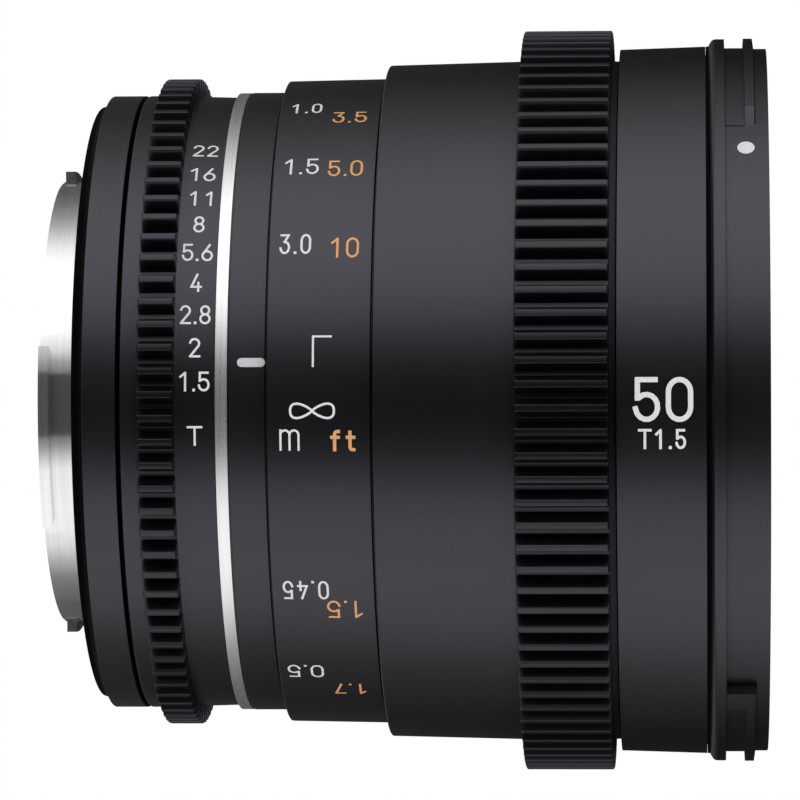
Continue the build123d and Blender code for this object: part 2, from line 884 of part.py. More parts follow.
# Distance scale ring, on the focus ring's tail
scale_bore = tail_radius + glass_clearance
with BuildPart() as distance_scale_ring:
    turned(
        (focus_start, scale_bore),
        (focus_start, scale_rear_radius - scale_chamfer_drop),
        (focus_start + scale_chamfer, scale_rear_radius),
        (scale_end, scale_front_radius),
        (scale_end, scale_bore),
    )
distance_scale_ring.part.label = "distance_scale_ring"
export_step(distance_scale_ring.part, "parts/distance_scale_ring.step")

# Helicoid nut: turns with the focus ring inside the barrel and drives the sleeve forwards
thread_root_radius = thread_crest_radius - thread_depth
nut_root_radius = thread_crest_radius + thread_clearance
nut_crest_radius = thread_root_radius + thread_clearance
nut_outer_radius = barrel_bore_radius - running_clearance
bush_bottom = nut_outer_radius - bush_sink
drive_screw_length = bush_top - nut_root_radius - thread_sink
nut_ridge = helicoid_ridge(nut_start, nut_end, nut_crest_radius, nut_root_radius + thread_sink)
with BuildPart() as helicoid_nut:
    tube(nut_start, nut_end, nut_root_radius, nut_outer_radius)
    for angle in angles_round(thread_starts, 180 / thread_starts):
        add(nut_ridge.rotate(Axis.X, angle))
    for plane in drive_planes:
        with BuildSketch(plane.offset(bush_bottom - bush_top)):
            Circle(bush_radius + seat_clearance)
        extrude(amount=bush_sink + overrun, mode=Mode.SUBTRACT)
    screw_holes(drive_planes, small_screw, drive_screw_length)
helicoid_nut.part.label = "helicoid_nut"
export_step(helicoid_nut.part, "parts/helicoid_nut.step")

# Drive bushes and screws: they join the focus ring to the nut through the barrel's slots
with BuildPart() as drive_bushes:
    for plane in drive_planes:
        with BuildSketch(plane):
            Circle(bush_radius)
        extrude(amount=bush_bottom - bush_top)
    screw_holes(drive_planes, small_screw, drive_screw_length)
drive_bushes.part.label = "drive_bushes"
export_step(drive_bushes.part, "parts/drive_bushes.step")

with BuildPart() as drive_screws:
    screws(drive_planes, small_screw, drive_screw_length)
drive_screws.part.label = "drive_screws"
export_step(drive_screws.part, "parts/drive_screws.step")

# Iris ring: gear and scale, with a pocket inside for the fork's arm
iris_bore = iris_bearing_radius + running_clearance
iris_gear_start = iris_start + iris_gear_inset
iris_top_start = iris_gear_start + iris_gear_top_inset
iris_top_end = iris_top_start + iris_gear_top_length
iris_gear_top = gear_module * (iris_teeth / 2 + 1)
fork_top = iris_bore + fork_pocket_depth
with BuildPart() as iris_ring:
    turned(
        (iris_start, iris_bore),
        (iris_start, iris_rear_radius),
        (iris_gear_start, iris_rear_radius),
        (iris_top_start, iris_gear_top),
        (iris_top_end, iris_gear_top),
        (iris_top_end + iris_gear_foot_length, iris_mid_radius),
        (iris_end, iris_front_radius),
        (iris_end, iris_bore),
    )
    tooth_gaps(iris_start, iris_end, iris_teeth, iris_tooth_angle)
    bar(
        fork_rear - seat_clearance,
        fork_front + seat_clearance,
        iris_bore - overrun,
        fork_top,
        fork_width + 2 * seat_clearance,
        [fork_angle],
        mode=Mode.SUBTRACT,
    )
iris_ring.part.label = "iris_ring"
export_step(iris_ring.part, "parts/iris_ring.step")

# Stations of the optical block, from the sleeve's front end
sleeve_end = front_start - sleeve_front_inset
cell_flange_end = sleeve_end + cell_flange_thickness
cell_end = sleeve_end + cell_front_length
cell_rear = sleeve_end - cell_tube_length
housing_rear = cell_rear - housing_length
floor_rear = cell_rear - housing_floor
blades_front = floor_rear - blade_first_gap
blades_rear = blades_front - blade_thickness - (blade_count - 1) * blade_pitch
cam_front = blades_rear - cam_ring_gap
cam_rear = cam_front - cam_ring_thickness

# Iris fork: an arm through the barrel's slot, and two tines that the cam ring's tongue slides in
tine_inner = housing_radius + fork_bar_gap
tine_outer = tine_inner + fork_bar_thickness
tine_end = cam_front + focus_travel + tine_margin
with BuildPart() as iris_fork:
    bar(
        fork_rear, fork_front, tine_inner, fork_top - seat_clearance, fork_width, [fork_angle]
    )
    bar(fork_rear, tine_end, tine_inner, tine_outer, fork_width, [fork_angle])
    bar(
        cam_rear - tine_margin,
        tine_end,
        tine_inner - overrun,
        tine_outer + overrun,
        tongue_width + 2 * sliding_clearance,
        [fork_angle],
        mode=Mode.SUBTRACT,
    )
iris_fork.part.label = "iris_fork"
export_step(iris_fork.part, "parts/iris_fork.step")

# Helicoid sleeve: the threaded tube that carries the optical block
thread_rear = rear_barrel_length + rear_flange_thickness + sleeve_thread_inset
cell_screw_planes = axial_planes(cell_flange_end, cell_screw_circle_radius, cell_screw_count, 0, 1)
cell_screw_length = cell_flange_thickness + cell_screw_bite
sleeve_ridge = helicoid_ridge(
    thread_rear,
    thread_rear + sleeve_thread_length,
    thread_root_radius - thread_sink,
    thread_crest_radius,
)
with BuildPart() as helicoid_sleeve:
    turned(
        (thread_rear, sleeve_bore),
        (thread_rear, thread_root_radius),
        (sleeve_end, thread_root_radius),
        (sleeve_end, cell_radius + seat_clearance),
        (sleeve_end - sleeve_flange_thickness, cell_radius + seat_clearance),
        (sleeve_end - sleeve_flange_thickness, sleeve_bore),
    )
    for angle in angles_round(thread_starts, 0):
        add(sleeve_ridge.rotate(Axis.X, angle))
    bar(
        thread_rear,
        guide_end + tine_margin,
        sleeve_bore - overrun,
        thread_crest_radius + overrun,
        guide_width + 2 * running_clearance,
        guide_angles,
        mode=Mode.SUBTRACT,
    )
    screw_holes(cell_screw_planes, tiny_screw, cell_screw_length)
helicoid_sleeve.part.label = "helicoid_sleeve"
export_step(helicoid_sleeve.part, "parts/helicoid_sleeve.step")

# Places of the glass in the front cell, from its rear wall forwards
glass_4_seat = cell_rear + cell_rear_wall
glass_4_back = glass_4_seat + sag(glass_4_rear, glass_4_clear)
glass_4_front = glass_4_back + glass_4_thickness
glass_3_back = glass_4_front + cement_gap
glass_3_vertex = glass_3_back + glass_3_thickness
glass_2_back = glass_3_vertex + glass_air_gap
glass_2_vertex = glass_2_back + glass_2_thickness
glass_1_back = glass_2_vertex + glass_air_gap
glass_1_vertex = glass_1_back + glass_1_thickness
glass_1_edge = glass_1_back - sag(glass_1_rear, glass_1_rim)
glass_2_edge = glass_2_back - sag(glass_2_rear, glass_2_rim)
spacer_1_rear = glass_2_vertex - sag(glass_2_front, spacer_1_bore)
spacer_2_rear = glass_3_vertex - sag(glass_3_front, spacer_2_bore)
front_retainer_rear = glass_1_vertex - sag(glass_1_front, front_retainer_bore)

# Places of the glass in the rear cell, from its front rim backwards
rear_cell_front = housing_rear
glass_5_rim_place = rear_cell_front + seat_clearance
glass_5_vertex = glass_5_rim_place + sag(glass_5_front, glass_5_clear)
glass_5_back = glass_5_vertex - glass_5_thickness
glass_6_vertex = glass_5_back - cement_gap
glass_6_back = glass_6_vertex - glass_6_thickness
glass_7_vertex = glass_6_back - glass_air_gap
glass_7_back = glass_7_vertex - glass_7_thickness
glass_8_vertex = glass_7_back - cement_gap
glass_8_back = glass_8_vertex - glass_8_thickness
glass_9_vertex = glass_8_back - glass_air_gap
glass_9_back = glass_9_vertex - glass_9_thickness
glass_6_seat = glass_6_back - sag(glass_6_rear, rear_seat_bore)
glass_7_seat = glass_7_vertex - sag(glass_7_front, rear_step_bore)
rear_spacer_front = glass_8_back - sag(glass_8_rear, rear_spacer_bore)
rear_spacer_rear = glass_9_vertex - sag(glass_9_front, rear_spacer_bore)
rear_retainer_front = glass_9_back - sag(glass_9_rear, rear_spacer_bore)
rear_cell_rear = rear_cell_front - rear_cell_length

# Front cell: holds the two front singlets and the cemented pair behind them
floor_screw_planes = axial_planes(
    floor_rear, floor_screw_circle_radius, floor_screw_count, floor_screw_angle, -1
)
floor_screw_length = housing_floor + floor_screw_bite
with BuildPart() as front_cell:
    turned(
        (cell_rear, cell_rear_bore),
        (cell_rear, cell_radius),
        (sleeve_end, cell_radius),
        (sleeve_end, cell_flange_radius),
        (cell_flange_end, cell_flange_radius),
        (cell_flange_end, cell_radius),
        (cell_end, cell_radius),
        (cell_end, glass_1_rim + glass_clearance),
        (spacer_1_rear, glass_1_rim + glass_clearance),
        (spacer_1_rear, glass_2_rim + glass_clearance),
        (spacer_2_rear, glass_2_rim + glass_clearance),
        (spacer_2_rear, glass_3_rim + glass_clearance),
        (glass_4_seat, glass_3_rim + glass_clearance),
        (glass_4_seat, cell_rear_bore),
    )
    screw_holes(cell_screw_planes, tiny_screw, cell_screw_length)
    screw_holes(floor_screw_planes, tiny_screw, floor_screw_length)
front_cell.part.label = "front_cell"
export_step(front_cell.part, "parts/front_cell.step")

with BuildPart() as cell_screws:
    screws(cell_screw_planes, tiny_screw, cell_screw_length)
cell_screws.part.label = "cell_screws"
export_step(cell_screws.part, "parts/cell_screws.step")

# Front shroud: closes the gap between the moving cell and the front barrel, with a felt seal
shroud_rear = web_front + shroud_gap
shroud_flange_end = shroud_rear + shroud_flange_thickness
shroud_end = shroud_rear + shroud_skirt_length
felt_start = shroud_rear + felt_inset
felt_floor = shroud_radius - felt_depth
with BuildPart() as front_shroud:
    turned(
        (cell_flange_end, cell_radius + seat_clearance),
        (cell_flange_end, shroud_hub_radius),
        (shroud_rear, shroud_hub_radius),
        (shroud_rear, shroud_radius),
        (felt_start, shroud_radius),
        (felt_start, felt_floor),
        (felt_start + felt_length, felt_floor),
        (felt_start + felt_length, shroud_radius),
        (shroud_end, shroud_radius),
        (shroud_end, shroud_radius - shroud_wall),
        (shroud_flange_end, shroud_radius - shroud_wall),
        (shroud_flange_end, cell_radius + seat_clearance),
    )
front_shroud.part.label = "front_shroud"
export_step(front_shroud.part, "parts/front_shroud.step")

with BuildPart() as felt_seal:
    tube(
        felt_start + seat_clearance,
        felt_start + felt_length - seat_clearance,
        felt_floor + seat_clearance,
        front_bore - felt_clearance,
    )
felt_seal.part.label = "felt_seal"
export_step(felt_seal.part, "parts/felt_seal.step")

# Name ring: the dished ring round the front glass, left bare
name_ring_rear = cell_end + seat_clearance
name_ring_rim = shroud_radius - shroud_wall - glass_clearance
with BuildPart() as name_ring:
    turned(
        (name_ring_rear, name_ring_bore),
        (name_ring_rear + name_ring_throat_depth, name_ring_throat_radius),
        (shroud_flange_end + name_ring_height, name_ring_rim - name_ring_land),
        (shroud_flange_end + name_ring_height, name_ring_rim),
        (shroud_flange_end, name_ring_rim),
        (shroud_flange_end, cell_radius),
        (name_ring_rear, cell_radius),
    )
name_ring.part.label = "name_ring"
export_step(name_ring.part, "parts/name_ring.step")

# Rings that hold the glass apart and in place
with BuildPart() as front_retainer:
    tube(front_retainer_rear, cell_end, front_retainer_bore, glass_1_rim)
    bar(
        cell_end - fine_slot_depth,
        cell_end,
        front_retainer_bore - overrun,
        glass_1_rim + overrun,
        spanner_slot_width,
        angles_round(spanner_slot_count, 0),
        mode=Mode.SUBTRACT,
    )
front_retainer.part.label = "front_retainer"
export_step(front_retainer.part, "parts/front_retainer.step")

with BuildPart() as front_spacer:
    tube(spacer_1_rear, glass_1_edge, spacer_1_bore, glass_1_rim)
front_spacer.part.label = "front_spacer"
export_step(front_spacer.part, "parts/front_spacer.step")

with BuildPart() as middle_spacer:
    tube(spacer_2_rear, glass_2_edge, spacer_2_bore, glass_2_rim)
middle_spacer.part.label = "middle_spacer"
export_step(middle_spacer.part, "parts/middle_spacer.step")

# Nine elements of glass, numbered from the front
with BuildPart() as lens_element_1:
    glass(glass_1_vertex, glass_1_front, glass_1_back, glass_1_rear, glass_1_rim)
lens_element_1.part.label = "lens_element_1"
export_step(lens_element_1.part, "parts/lens_element_1.step")

with BuildPart() as lens_element_2:
    glass(glass_2_vertex, glass_2_front, glass_2_back, glass_2_rear, glass_2_rim)
lens_element_2.part.label = "lens_element_2"
export_step(lens_element_2.part, "parts/lens_element_2.step")

with BuildPart() as lens_element_3:
    glass(glass_3_vertex, glass_3_front, glass_3_back, glass_3_rear, glass_3_rim)
lens_element_3.part.label = "lens_element_3"
export_step(lens_element_3.part, "parts/lens_element_3.step")

with BuildPart() as lens_element_4:
    glass(
        glass_4_front,
        glass_3_rear,
        glass_4_back,
        glass_4_rear,
        glass_3_rim,
        rear_clear=glass_4_clear,
    )
lens_element_4.part.label = "lens_element_4"
export_step(lens_element_4.part, "parts/lens_element_4.step")

with BuildPart() as lens_element_5:
    glass(
        glass_5_vertex,
        glass_5_front,
        glass_5_back,
        glass_5_rear,
        glass_5_rim,
        front_clear=glass_5_clear,
    )
lens_element_5.part.label = "lens_element_5"
export_step(lens_element_5.part, "parts/lens_element_5.step")

with BuildPart() as lens_element_6:
    glass(glass_6_vertex, glass_5_rear, glass_6_back, glass_6_rear, glass_5_rim)
lens_element_6.part.label = "lens_element_6"
export_step(lens_element_6.part, "parts/lens_element_6.step")

with BuildPart() as lens_element_7:
    glass(glass_7_vertex, glass_7_front, glass_7_back, glass_7_rear, glass_7_rim)
lens_element_7.part.label = "lens_element_7"
export_step(lens_element_7.part, "parts/lens_element_7.step")

with BuildPart() as lens_element_8:
    glass(glass_8_vertex, glass_7_rear, glass_8_back, glass_8_rear, glass_7_rim)
lens_element_8.part.label = "lens_element_8"
export_step(lens_element_8.part, "parts/lens_element_8.step")

with BuildPart() as lens_element_9:
    glass(glass_9_vertex, glass_9_front, glass_9_back, glass_9_rear, glass_7_rim)
lens_element_9.part.label = "lens_element_9"
export_step(lens_element_9.part, "parts/lens_element_9.step")

# Iris housing: a cup behind the front cell, with a hole for each blade's pivot and a notch in its
# wall for the cam ring's tongue
iris_screw_planes = axial_planes(
    housing_rear - rear_flange_length, iris_screw_circle_radius, iris_screw_count, iris_screw_angle, -1
)
iris_screw_length = rear_flange_length + iris_screw_bite
notch_end_angle = half_angle(tongue_width / 2, housing_inner_radius) + notch_margin_arc
pin_hole_radius = blade_pin_radius + blade_pin_clearance
blade_angles = angles_round(blade_count, blade_first_angle)
with BuildPart() as iris_housing:
    turned(
        (housing_rear, housing_inner_radius),
        (housing_rear, housing_radius),
        (cell_rear, housing_radius),
        (cell_rear, iris_hole_radius),
        (floor_rear, iris_hole_radius),
        (floor_rear, housing_inner_radius),
    )
    ring_sector(
        housing_rear,
        cam_front + sliding_clearance,
        housing_inner_radius - overrun,
        housing_radius + overrun,
        fork_angle - iris_open_turn - notch_end_angle,
        iris_whole_turn + 2 * notch_end_angle,
        mode=Mode.SUBTRACT,
    )
    with BuildSketch(Plane.YZ.offset(floor_rear)):
        with PolarLocations(blade_pivot_circle_radius, blade_count, start_angle=blade_first_angle):
            Circle(pin_hole_radius)
    extrude(amount=housing_floor, mode=Mode.SUBTRACT)
    screw_holes(floor_screw_planes, tiny_screw, floor_screw_length)
    screw_holes(iris_screw_planes, fine_screw, iris_screw_length)
iris_housing.part.label = "iris_housing"
export_step(iris_housing.part, "parts/iris_housing.step")

with BuildPart() as floor_screws:
    screws(floor_screw_planes, tiny_screw, floor_screw_length)
floor_screws.part.label = "floor_screws"
export_step(floor_screws.part, "parts/floor_screws.step")

with BuildPart() as iris_screws:
    screws(iris_screw_planes, fine_screw, iris_screw_length)
iris_screws.part.label = "iris_screws"
export_step(iris_screws.part, "parts/iris_screws.step")

# Rear cell: closes the iris housing and holds the rear glass
lip_outer = housing_inner_radius - sliding_clearance
rear_cell_neck = glass_5_rim + glass_clearance + rear_neck_wall
inner_retainer_start = glass_5_rim_place + seat_clearance
inner_retainer_end = inner_retainer_start + inner_retainer_length
with BuildPart() as rear_cell:
    turned(
        (rear_cell_rear, glass_7_rim + glass_clearance),
        (rear_cell_rear, rear_cell_radius),
        (rear_cell_front - rear_flange_length, rear_cell_radius),
        (rear_cell_front - rear_flange_length, housing_radius),
        (rear_cell_front, housing_radius),
        (rear_cell_front, lip_outer),
        (cam_rear - sliding_clearance, lip_outer),
        (cam_rear - sliding_clearance, rear_lip_radius),
        (rear_cell_front, rear_lip_radius),
        (rear_cell_front, rear_cell_neck),
        (inner_retainer_end, rear_cell_neck),
        (inner_retainer_end, glass_5_rim + glass_clearance),
        (glass_6_seat, glass_5_rim + glass_clearance),
        (glass_6_seat, rear_seat_bore),
        (glass_6_back - glass_air_gap, rear_seat_bore),
        (glass_6_back - glass_air_gap, rear_step_bore),
        (glass_7_seat, rear_step_bore),
        (glass_7_seat, glass_7_rim + glass_clearance),
    )
    screw_holes(iris_screw_planes, fine_screw, iris_screw_length)
rear_cell.part.label = "rear_cell"
export_step(rear_cell.part, "parts/rear_cell.step")

with BuildPart() as inner_retainer:
    tube(inner_retainer_start, inner_retainer_end, inner_retainer_bore, glass_5_rim)
inner_retainer.part.label = "inner_retainer"
export_step(inner_retainer.part, "parts/inner_retainer.step")

with BuildPart() as rear_spacer:
    tube(rear_spacer_rear, rear_spacer_front, rear_spacer_bore, glass_7_rim)
rear_spacer.part.label = "rear_spacer"
export_step(rear_spacer.part, "parts/rear_spacer.step")

with BuildPart() as rear_retainer:
    tube(rear_cell_rear, rear_retainer_front, rear_spacer_bore, glass_7_rim)
    bar(
        rear_cell_rear,
        rear_cell_rear + fine_slot_depth,
        rear_spacer_bore - overrun,
        glass_7_rim + overrun,
        spanner_slot_width,
        angles_round(spanner_slot_count, 0),
        mode=Mode.SUBTRACT,
    )
rear_retainer.part.label = "rear_retainer"
export_step(rear_retainer.part, "parts/rear_retainer.step")


def cam_pin(share):
    """Where a blade's cam pin is when the ring has made a share of its turn: radius and angle.

    The angle is counted in the cam ring's own frame, from the blade's pivot.
    """
    outwards, sideways = polar(blade_cam_distance, cam_pin_direction + share * blade_turn)
    outwards += blade_pivot_circle_radius
    ring_turn = share * iris_whole_turn - iris_open_turn
    return hypot(outwards, sideways), degrees(atan2(sideways, outwards)) - ring_turn


# Iris cam ring: a flat ring with a curved slot for each blade's cam pin, and the tongue
cam_pin_direction = 90 - blade_turn / 2
slot_stations = [cam_pin(share) for share in (0, 1 / 2, 1)]
with BuildPart() as iris_cam_ring:
    tube(cam_rear, cam_front, cam_ring_bore, housing_inner_radius - sliding_clearance)
    bar(
        cam_rear,
        cam_front,
        rear_lip_radius,
        housing_radius + tongue_reach,
        tongue_width,
        [fork_angle],
    )
    with BuildSketch(Plane.YZ.offset(cam_rear)):
        for pivot_angle in blade_angles:
            stations = [polar(radius, pivot_angle + angle) for radius, angle in slot_stations]
            with BuildLine(mode=Mode.PRIVATE) as slot_centre:
                ThreePointArc(*stations)
            SlotArc(slot_centre.line.edge(), 2 * pin_hole_radius)
    extrude(amount=cam_ring_thickness, mode=Mode.SUBTRACT)
iris_cam_ring.part.label = "iris_cam_ring"
export_step(iris_cam_ring.part, "parts/iris_cam_ring.step")

# Iris blades: each a crescent on its own level, with a pivot pin in the housing's floor and a cam
# pin in the cam ring's slot, drawn about its pivot
for number, pivot_angle in enumerate(blade_angles):
    level = blades_front - number * blade_pitch
    pivot_plane = Plane(
        origin=(level, *polar(blade_pivot_circle_radius, pivot_angle)),
        x_dir=(0, *polar(1, pivot_angle + blade_rest_turn)),
        z_dir=(1, 0, 0),
    )
    cam_pin_place = polar(blade_cam_distance, cam_pin_direction)
    neck_length = blade_pivot_circle_radius - blade_outer_radius + blade_neck_overlap
    with BuildPart() as blade:
        with BuildSketch(pivot_plane):
            sector(
                blade_inner_radius,
                blade_outer_radius,
                -blade_root_arc,
                blade_root_arc + blade_arc,
                centre=-blade_pivot_circle_radius,
            )
            Circle(blade_tab_radius)
            with Locations((-neck_length / 2, 0)):
                Rectangle(neck_length, 2 * blade_tab_radius)
            with Locations(polar(blade_cam_distance / 2, cam_pin_direction)):
                Rectangle(blade_cam_distance, 2 * blade_cam_tab_radius, rotation=cam_pin_direction)
            with Locations(cam_pin_place):
                Circle(blade_cam_tab_radius)
        extrude(amount=-blade_thickness)
        with BuildSketch(pivot_plane):
            Circle(blade_pin_radius)
        extrude(amount=floor_rear + blade_pin_engagement - level)
        with BuildSketch(pivot_plane):
            with Locations(cam_pin_place):
                Circle(blade_pin_radius)
        extrude(amount=cam_front - blade_pin_engagement - level)
    blade.part.label = f"iris_blade_{number + 1}"
    export_step(blade.part, f"parts/iris_blade_{number + 1}.step")
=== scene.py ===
from math import atan2, cos, degrees, hypot, pi, radians, sin, tan

import bpy
import numpy as np
from mathutils import Matrix, Vector


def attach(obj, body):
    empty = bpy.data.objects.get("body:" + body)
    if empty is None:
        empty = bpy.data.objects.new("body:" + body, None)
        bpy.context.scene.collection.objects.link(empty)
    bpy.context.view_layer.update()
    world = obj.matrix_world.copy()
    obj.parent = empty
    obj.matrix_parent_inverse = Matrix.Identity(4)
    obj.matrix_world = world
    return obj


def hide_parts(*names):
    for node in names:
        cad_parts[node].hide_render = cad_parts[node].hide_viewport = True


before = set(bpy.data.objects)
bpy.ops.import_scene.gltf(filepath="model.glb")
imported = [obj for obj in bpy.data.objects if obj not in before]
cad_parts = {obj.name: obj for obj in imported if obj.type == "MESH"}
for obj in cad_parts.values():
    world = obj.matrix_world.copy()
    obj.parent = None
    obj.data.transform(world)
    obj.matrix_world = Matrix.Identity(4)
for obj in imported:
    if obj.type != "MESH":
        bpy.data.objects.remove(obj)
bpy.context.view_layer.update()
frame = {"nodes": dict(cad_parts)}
nodes = frame["nodes"]

# Lengths are in millimetres up to the meshes, which are in metres. The optical axis is +X, towards
# the subject, and +Z is up. Angles about the axis are in degrees from +Y towards +Z.
MM = 0.001
STEPS = 384
SOFT_EDGE = 0.12

# Corners: an arc reaches at most this share of a side, and none is drawn where the reach would be
# shorter or half the turn wider than these. Each arc has a point beside it, at a share of its reach.
LONGEST_SHARE = 0.42
SHORTEST_REACH = 1e-4
STRAIGHT_TURN = 1.53
BESIDE_SHARE = 0.25
BESIDE_LIMIT = 0.03

# Teeth: steps (across, up) from the root's corner, from the land's corner, and (along, up) from the
# tooth's end, which round those edges
MODULE = 0.8
PRESSURE_ANGLE = 20
ROOT_EDGE = [(-0.1, 0), (-0.02, 0.012), (0.03, 0.07)]
LAND_EDGE = [(-0.035, -0.09), (0.005, -0.035), (0.04, -0.008), (0.09, 0)]
END_EDGE = [(0.03, -0.14), (0.09, -0.05), (0.2, 0), (0.3, 0)]

# A tooth's sides have levels up to the first of these below its top, and a last one at the second
FREE_TOP = 0.3
LAST_LEVEL = 0.25

# Paint: its upper side over the ring's surface, and the lower sides of letters and of filled marks
PAINT_RISE = 0.012
LETTER_SINK = 0.03
MARK_SINK = 0.05

# Characters: cells of the grid in a stroke's width, and the turns in radians of a square corner
CELLS_ACROSS = 5
SQUARE_TURN = (1.05, 2.1)

# Filled marks: the pitch of the grooves along them
GROOVE_PITCH = 0.16


# ---- Surfaces

def corners_of(faces, place):
    """The point numbers at one place of every face, over all the groups of faces."""
    return np.concatenate([np.asarray(group)[:, place] for group in faces])


def closed_mesh(name, points, faces, material, body, sharp_angle=32):
    """A solid from its points in millimetres and its faces, turned so that they face outwards."""
    corners = np.concatenate([np.asarray(group) for group in faces], axis=None)
    first = points[corners_of(faces, 0)]
    second = points[corners_of(faces, 1)]
    third = points[corners_of(faces, 2)]
    fourth = points[corners_of(faces, -1)]
    volume = (first * np.cross(second, third)).sum() + (first * np.cross(third, fourth)).sum()
    if volume < 0:
        faces = [np.asarray(group)[:, ::-1] for group in faces]
        corners = np.concatenate([group.ravel() for group in faces])
    sizes = np.concatenate([np.full(len(group), np.asarray(group).shape[1]) for group in faces])
    mesh = bpy.data.meshes.new(name)
    mesh.vertices.add(len(points))
    mesh.vertices.foreach_set("co", (points * MM).astype(np.float32).ravel())
    mesh.loops.add(len(corners))
    mesh.loops.foreach_set("vertex_index", corners.astype(np.int32))
    mesh.polygons.add(len(sizes))
    mesh.polygons.foreach_set("loop_start", (np.cumsum(sizes) - sizes).astype(np.int32))
    mesh.polygons.foreach_set("use_smooth", np.ones(len(sizes), bool))
    mesh.update(calc_edges=True)
    mesh.validate()
    mesh.set_sharp_from_angle(angle=radians(sharp_angle))
    mesh.materials.append(material)
    piece = bpy.data.objects.new(name, mesh)
    bpy.context.scene.collection.objects.link(piece)
    if body:
        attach(piece, body)
    return piece


def grid_faces(rows, columns, closed_rows=True, closed_columns=True):
    """The four-sided faces of a grid of points numbered row by row, joined round where closed."""
    row = np.arange(rows if closed_rows else rows - 1)[:, None]
    column = np.arange(columns if closed_columns else columns - 1)[None, :]
    next_row = (row + 1) % rows
    next_column = (column + 1) % columns
    quads = [
        row * columns + column,
        next_row * columns + column,
        next_row * columns + next_column,
        row * columns + next_column,
    ]
    return np.stack(quads, axis=-1).reshape(-1, 4)


def rounded(outline, radius=SOFT_EDGE, arc_points=4):
    """A closed outline of (x, r, own radius) corners with each corner rounded by an arc.

    Each arc starts and ends where it touches its two sides. One more point lies on each side just
    outside the arc, which keeps the flats flat when they are shaded smooth.
    """
    corners = [(*corner, radius)[:3] for corner in outline]
    drawn = []
    for index, (x, r, own) in enumerate(corners):
        before = np.array(corners[index - 1][:2]) - (x, r)
        after = np.array(corners[(index + 1) % len(corners)][:2]) - (x, r)
        before_length = hypot(*before)
        after_length = hypot(*after)
        before = before / before_length
        after = after / after_length
        turn = atan2(before[0] * after[1] - before[1] * after[0], before @ after)
        half = abs(turn) / 2
        reach = own / tan(half) if own else 0
        reach = min(reach, LONGEST_SHARE * before_length, LONGEST_SHARE * after_length)
        if reach < SHORTEST_REACH or half > STRAIGHT_TURN:
            drawn.append((x, r))
            continue
        bend = reach * tan(half)
        middle = (before + after) / hypot(*(before + after)) * bend / sin(half) + (x, r)
        start = before * reach + (x, r)
        end = after * reach + (x, r)
        support = min(BESIDE_SHARE * reach, BESIDE_LIMIT)
        start_angle = atan2(*(start - middle)[::-1])
        end_angle = atan2(*(end - middle)[::-1])
        sweep = (end_angle - start_angle + pi) % (2 * pi) - pi
        drawn.append(tuple(start + before * support))
        for share in np.linspace(0, 1, arc_points):
            angle = start_angle + sweep * share
            drawn.append((middle[0] + bend * cos(angle), middle[1] + bend * sin(angle)))
        drawn.append(tuple(end + after * support))
    return np.array(drawn)


def around(x, r, turn):
    """Points at places on the axis, radii and angles in radians, as arrays of (x, y, z)."""
    x, r, turn = np.broadcast_arrays(x, r, turn)
    return np.stack([x, r * np.cos(turn), r * np.sin(turn)], axis=-1).reshape(-1, 3)


def turned(name, outline, material, body, radius=SOFT_EDGE, shape=None, angles=None):
    """A solid of revolution: x and r from the closed outline, y = r cos turn, z = r sin turn.

    Where a shape is given, it changes the grid's places and radii by the angle, in degrees.
    """
    drawn = rounded(outline, radius)
    turn = np.arange(STEPS) * 2 * pi / STEPS if angles is None else np.radians(angles)
    x = np.repeat(drawn[:, :1], len(turn), axis=1)
    r = np.repeat(drawn[:, 1:], len(turn), axis=1)
    if shape is not None:
        x, r = shape(x, r, np.degrees(turn)[None, :])
    points = around(x, r, turn[None, :])
    return closed_mesh(name, points, [grid_faces(len(drawn), len(turn))], material, body)


def spun(name, outline, material, body):
    """A solid of revolution whose outline starts and ends on the axis, closed there by fans."""
    drawn = np.array(outline)
    turn = np.arange(STEPS) * 2 * pi / STEPS
    rings = around(drawn[1:-1, :1], drawn[1:-1, 1:], turn[None, :])
    tips = around(drawn[[0, -1], 0], 0.0, 0.0)
    points = np.concatenate([rings, tips])
    quads = grid_faces(len(drawn) - 2, STEPS, closed_rows=False)
    along = np.arange(STEPS)
    beside = (along + 1) % STEPS
    last = (len(drawn) - 3) * STEPS
    first_fan = np.stack([np.full(STEPS, len(rings)), along, beside], axis=1)
    last_fan = np.stack([np.full(STEPS, len(rings) + 1), last + beside, last + along], axis=1)
    fans = np.concatenate([first_fan, last_fan])
    return closed_mesh(name, points, [quads, fans], material, body)


